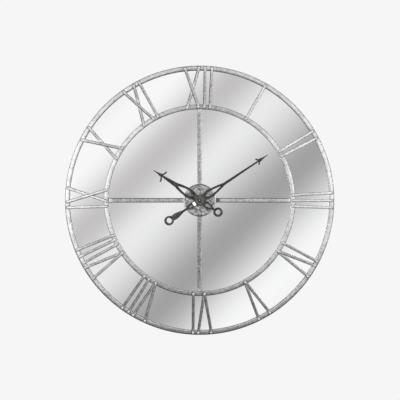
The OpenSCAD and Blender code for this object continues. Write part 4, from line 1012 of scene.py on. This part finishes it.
def hand(name, body, solids, holes, back, angle, bright=None):
    """One hand: its cut sheet, with the paint rubbed near the cut, over the hub and at the tail, and painted
    near-white, a painted highlight, in a rounded patch at the run and of the half length and width that
    bright gives."""
    cut_reach, hub_radius, tail_from, tail_fade = 0.7, 17, 45, 20
    (points, faces), depth = sheet_cut(solids, holes, back, back + hand_thick, angle)
    a = math.radians(angle)
    run = points[:, 0] * math.sin(a) + points[:, 2] * math.cos(a)
    aside = points[:, 0] * math.cos(a) - points[:, 2] * math.sin(a)
    by_cut = 0.6 * np.exp(-(depth / cut_reach) ** 2)
    hub = 0.62 * np.clip((hub_radius - np.hypot(run, aside)) / 2, 0, 1)
    tail = 0.55 * np.clip((-run - tail_from) / tail_fade, 0, 1)
    rubbed = np.max([by_cut, hub, tail], axis=0)
    if bright:
        at, half, reach = bright
        rubbed = np.maximum(rubbed, 2 * np.exp(-((run - at) / half) ** 4 - (aside / reach) ** 4))
    piece(name, [(points, faces)], painted, "hand_paint", body, sharp=50.0, rubbed=rubbed)


hour_back, hour_angle = 32.0, 303
hand("hour_hand", "hour",
     [circle(16), lens(0, 105, 27.2, 44),
      arrow(78, 15, 6, root=137, tip=163, head_w=10, reach=17.5, fall=8, barb_w=3.5),
      lens(-52, 0, 19, -25), strip(-65, -16, 6.5), circle(14, -65)],
     [lens(22.5, 78, 14.2, 44), lens(-47.5, -18, 10, -27.8), circle(7.4, -65), circle(2.52)],
     hour_back, hour_angle)
# A painted highlight on the minute hand's tail by the hub: a near-white patch for a lamp's glint
minute_back, minute_angle, minute_glint = 35.5, 56.3, (-19.0, 5.0, 7.8)
hand("minute_hand", "minute",
     [circle(14), lens(0, 104, 23.4, 37),
      arrow(77, 8.5, 4.5, root=217, tip=242, head_w=9, reach=10, fall=10, barb_w=3),
      lens(-50, 0, 16.5, -24), strip(-109, -45.75, 6.75), lens(-101, -50, 18, -87), circle(14, -109)],
     [lens(19.6, 77, 12.2, 37), lens(-45.75, -23, 8, -30.6), circle(8.2, -109), circle(1.52)],
     minute_back, minute_angle, minute_glint)

nut_ribs, nut_steps = 24, 6
nut_line = np.array([[1.55, 37.1], [3.35, 37.1], [3.5, 37.3], [3.5, 39.6], [3.38, 40.05], [3.05, 40.45],
                     [2.5, 40.75], [1.8, 40.95], [1.0, 41.06], [0.03, 41.1], [0.03, 40.3], [1.55, 40.3]])
nut_share = 0.045 * np.array([0, 0.3, 1, 1, 0.4, 0, 0, 0, 0, 0, 0, 0])
# The crown is worn bare, and its middle painted paler: a painted highlight
crown_worn_and_highlight = 1.5 * np.clip(1.4 - nut_line[:, 0] / 2.4, 0, 1) * (nut_line[:, 1] > 40.5)
piece("hand_nut", [ribbed(nut_line, nut_ribs, nut_steps, nut_share)], painted, "hand_paint", "minute",
      rubbed=np.repeat(crown_worn_and_highlight, nut_ribs * nut_steps))


# Studio.
# A square front view from eye level, soft light from both sides, and a pale plain ground.
stage_view = bpy.data.cameras.new("front_view")
stage_view.sensor_width = 36
stage_view.lens = 90.8
camera = bpy.data.objects.new("front_view", stage_view)
camera.location = (0.001, -3.0, 0.0008)
camera.rotation_euler = (math.pi / 2, 0, 0)
bpy.context.scene.collection.objects.link(camera)
bpy.context.scene.camera = camera
bpy.context.scene.view_settings.view_transform = "Standard"


def lamp(name, place, aim, width, height, power):
    """A soft box: a rectangle of light at a place, turned to face a point."""
    light = bpy.data.lights.new(name, "AREA")
    light.shape = "RECTANGLE"
    light.size, light.size_y, light.energy = width, height, power
    made = bpy.data.objects.new(name, light)
    made.location = place
    step = np.array(aim) - np.array(place)
    made.rotation_euler = (math.acos(-step[2] / np.linalg.norm(step)), 0, math.atan2(-step[0], step[1]))
    made.visible_camera = False
    bpy.context.scene.collection.objects.link(made)


lamp("soft_box_left", (-0.83, -1.8, 0.05), (-0.3, 0, 0.05), 0.38, 0.94, 17)
lamp("soft_box_right", (0.83, -1.8, 0.2), (0.3, 0, 0.1), 0.38, 0.68, 11)
lamp("soft_box_top", (0.1, -1.8, 0.80), (0, 0, 0.2), 0.9, 0.2, 5.5)
lamp("soft_box_back_left", (0.9, 1.7, 0.6), (0, 0, 0), 0.7, 0.9, 9)
lamp("soft_box_back_right", (-1.1, 1.5, 0.4), (0, 0, 0), 0.5, 0.9, 5)


def pale_floor():
    """Matt pale paper under the object, with a trace of fibre, that thins away to nothing at its rim."""
    paper = Finish("pale_floor")
    far = paper.far(paper.axis("X"), paper.axis("Y") - floor_y)
    fibre = paper.noise(300, 3, 0.6)
    return paper.surface(base_color=paper.mix(fibre, (0.62, 0.62, 0.62), (0.66, 0.66, 0.66)), roughness=0.8,
                         alpha=1 - paper.between(far, 0.6 * floor_radius, 0.97 * floor_radius))


floor_y, floor_z, floor_radius = -0.55, -0.78, 1.4
floor_rings, floor_steps = 12, 72
from_middle = floor_radius * np.linspace(0.001, 1, floor_rings)[:, None]
floor_turn = np.linspace(0, 2 * math.pi, floor_steps, endpoint=False)[None, :]
floor_points = np.stack([from_middle * np.cos(floor_turn), floor_y + from_middle * np.sin(floor_turn),
                         floor_z + 0 * from_middle * floor_turn], -1)
floor_faces = skin(floor_points, False)[1][:-1]
floor_mesh = bpy.data.meshes.new("floor")
floor_mesh.from_pydata(floor_points.reshape(-1, 3), [], floor_faces)
floor_mesh.materials.append(pale_floor())
floor = bpy.data.objects.new("floor", floor_mesh)
bpy.context.scene.collection.objects.link(floor)


class Surround(Finish):
    """The world's own nodes, worked out as a material's are."""

    def __init__(self, name):
        self.world = bpy.data.worlds.new(name)
        self.world.use_nodes = True
        self.tree = self.world.node_tree


def pale_studio():
    """A plain pale ground to the eye. Polished metal sees the studio round it instead: soft pale and grey
    bands that lie across the room on the slant, darker above and below."""
    room = Surround("pale_studio")
    way = room.node("ShaderNodeTexCoord", {}, {}, "Generated")
    x, z = (room.node("ShaderNodeSeparateXYZ", {}, {0: way}, letter) for letter in "XZ")
    slant = (x - z) * (0.5 * math.sqrt(0.5)) + 0.5
    tones = [(-1, 0.5), (-0.5, 0.35), (-0.32, 0.8), (-0.2, 0.5), (-0.105, 0.98), (-0.06, 0.555),
             (-0.0205, 0.86), (0.047, 0.37), (0.112, 0.98), (0.2, 0.45), (0.32, 0.8), (0.5, 0.35), (1, 0.5)]
    warm, warm_at = (1.02, 0.99, 1.0), -0.06
    stops = [(s * 0.5 + 0.5, tuple(t * (w if s == warm_at else 1) for w in warm)) for s, t in tones]
    bands = room.node("ShaderNodeValToRGB", {"stops": stops, "interpolation": "EASE"}, {0: slant})
    dim = 1 - room.between(z * z, 0.04, 0.5) * 0.4
    seen = room.node("ShaderNodeLightPath", {}, {}, "Is Camera Ray")
    glossy = room.node("ShaderNodeLightPath", {}, {}, "Is Glossy Ray")
    dimmed = room.node("ShaderNodeMix", {"data_type": "RGBA", "blend_type": "MULTIPLY"},
                       {0: 1.0, 6: bands, 7: dim}, 2)
    even = room.mix(glossy, (0.55, 0.55, 0.55), dimmed)
    ground = room.mix(seen, even, (0.921, 0.921, 0.921))
    room.feed(room.tree.nodes["Background"], {"Color": ground, "Strength": 1.0})
    return room.world


bpy.context.scene.world = pale_studio()
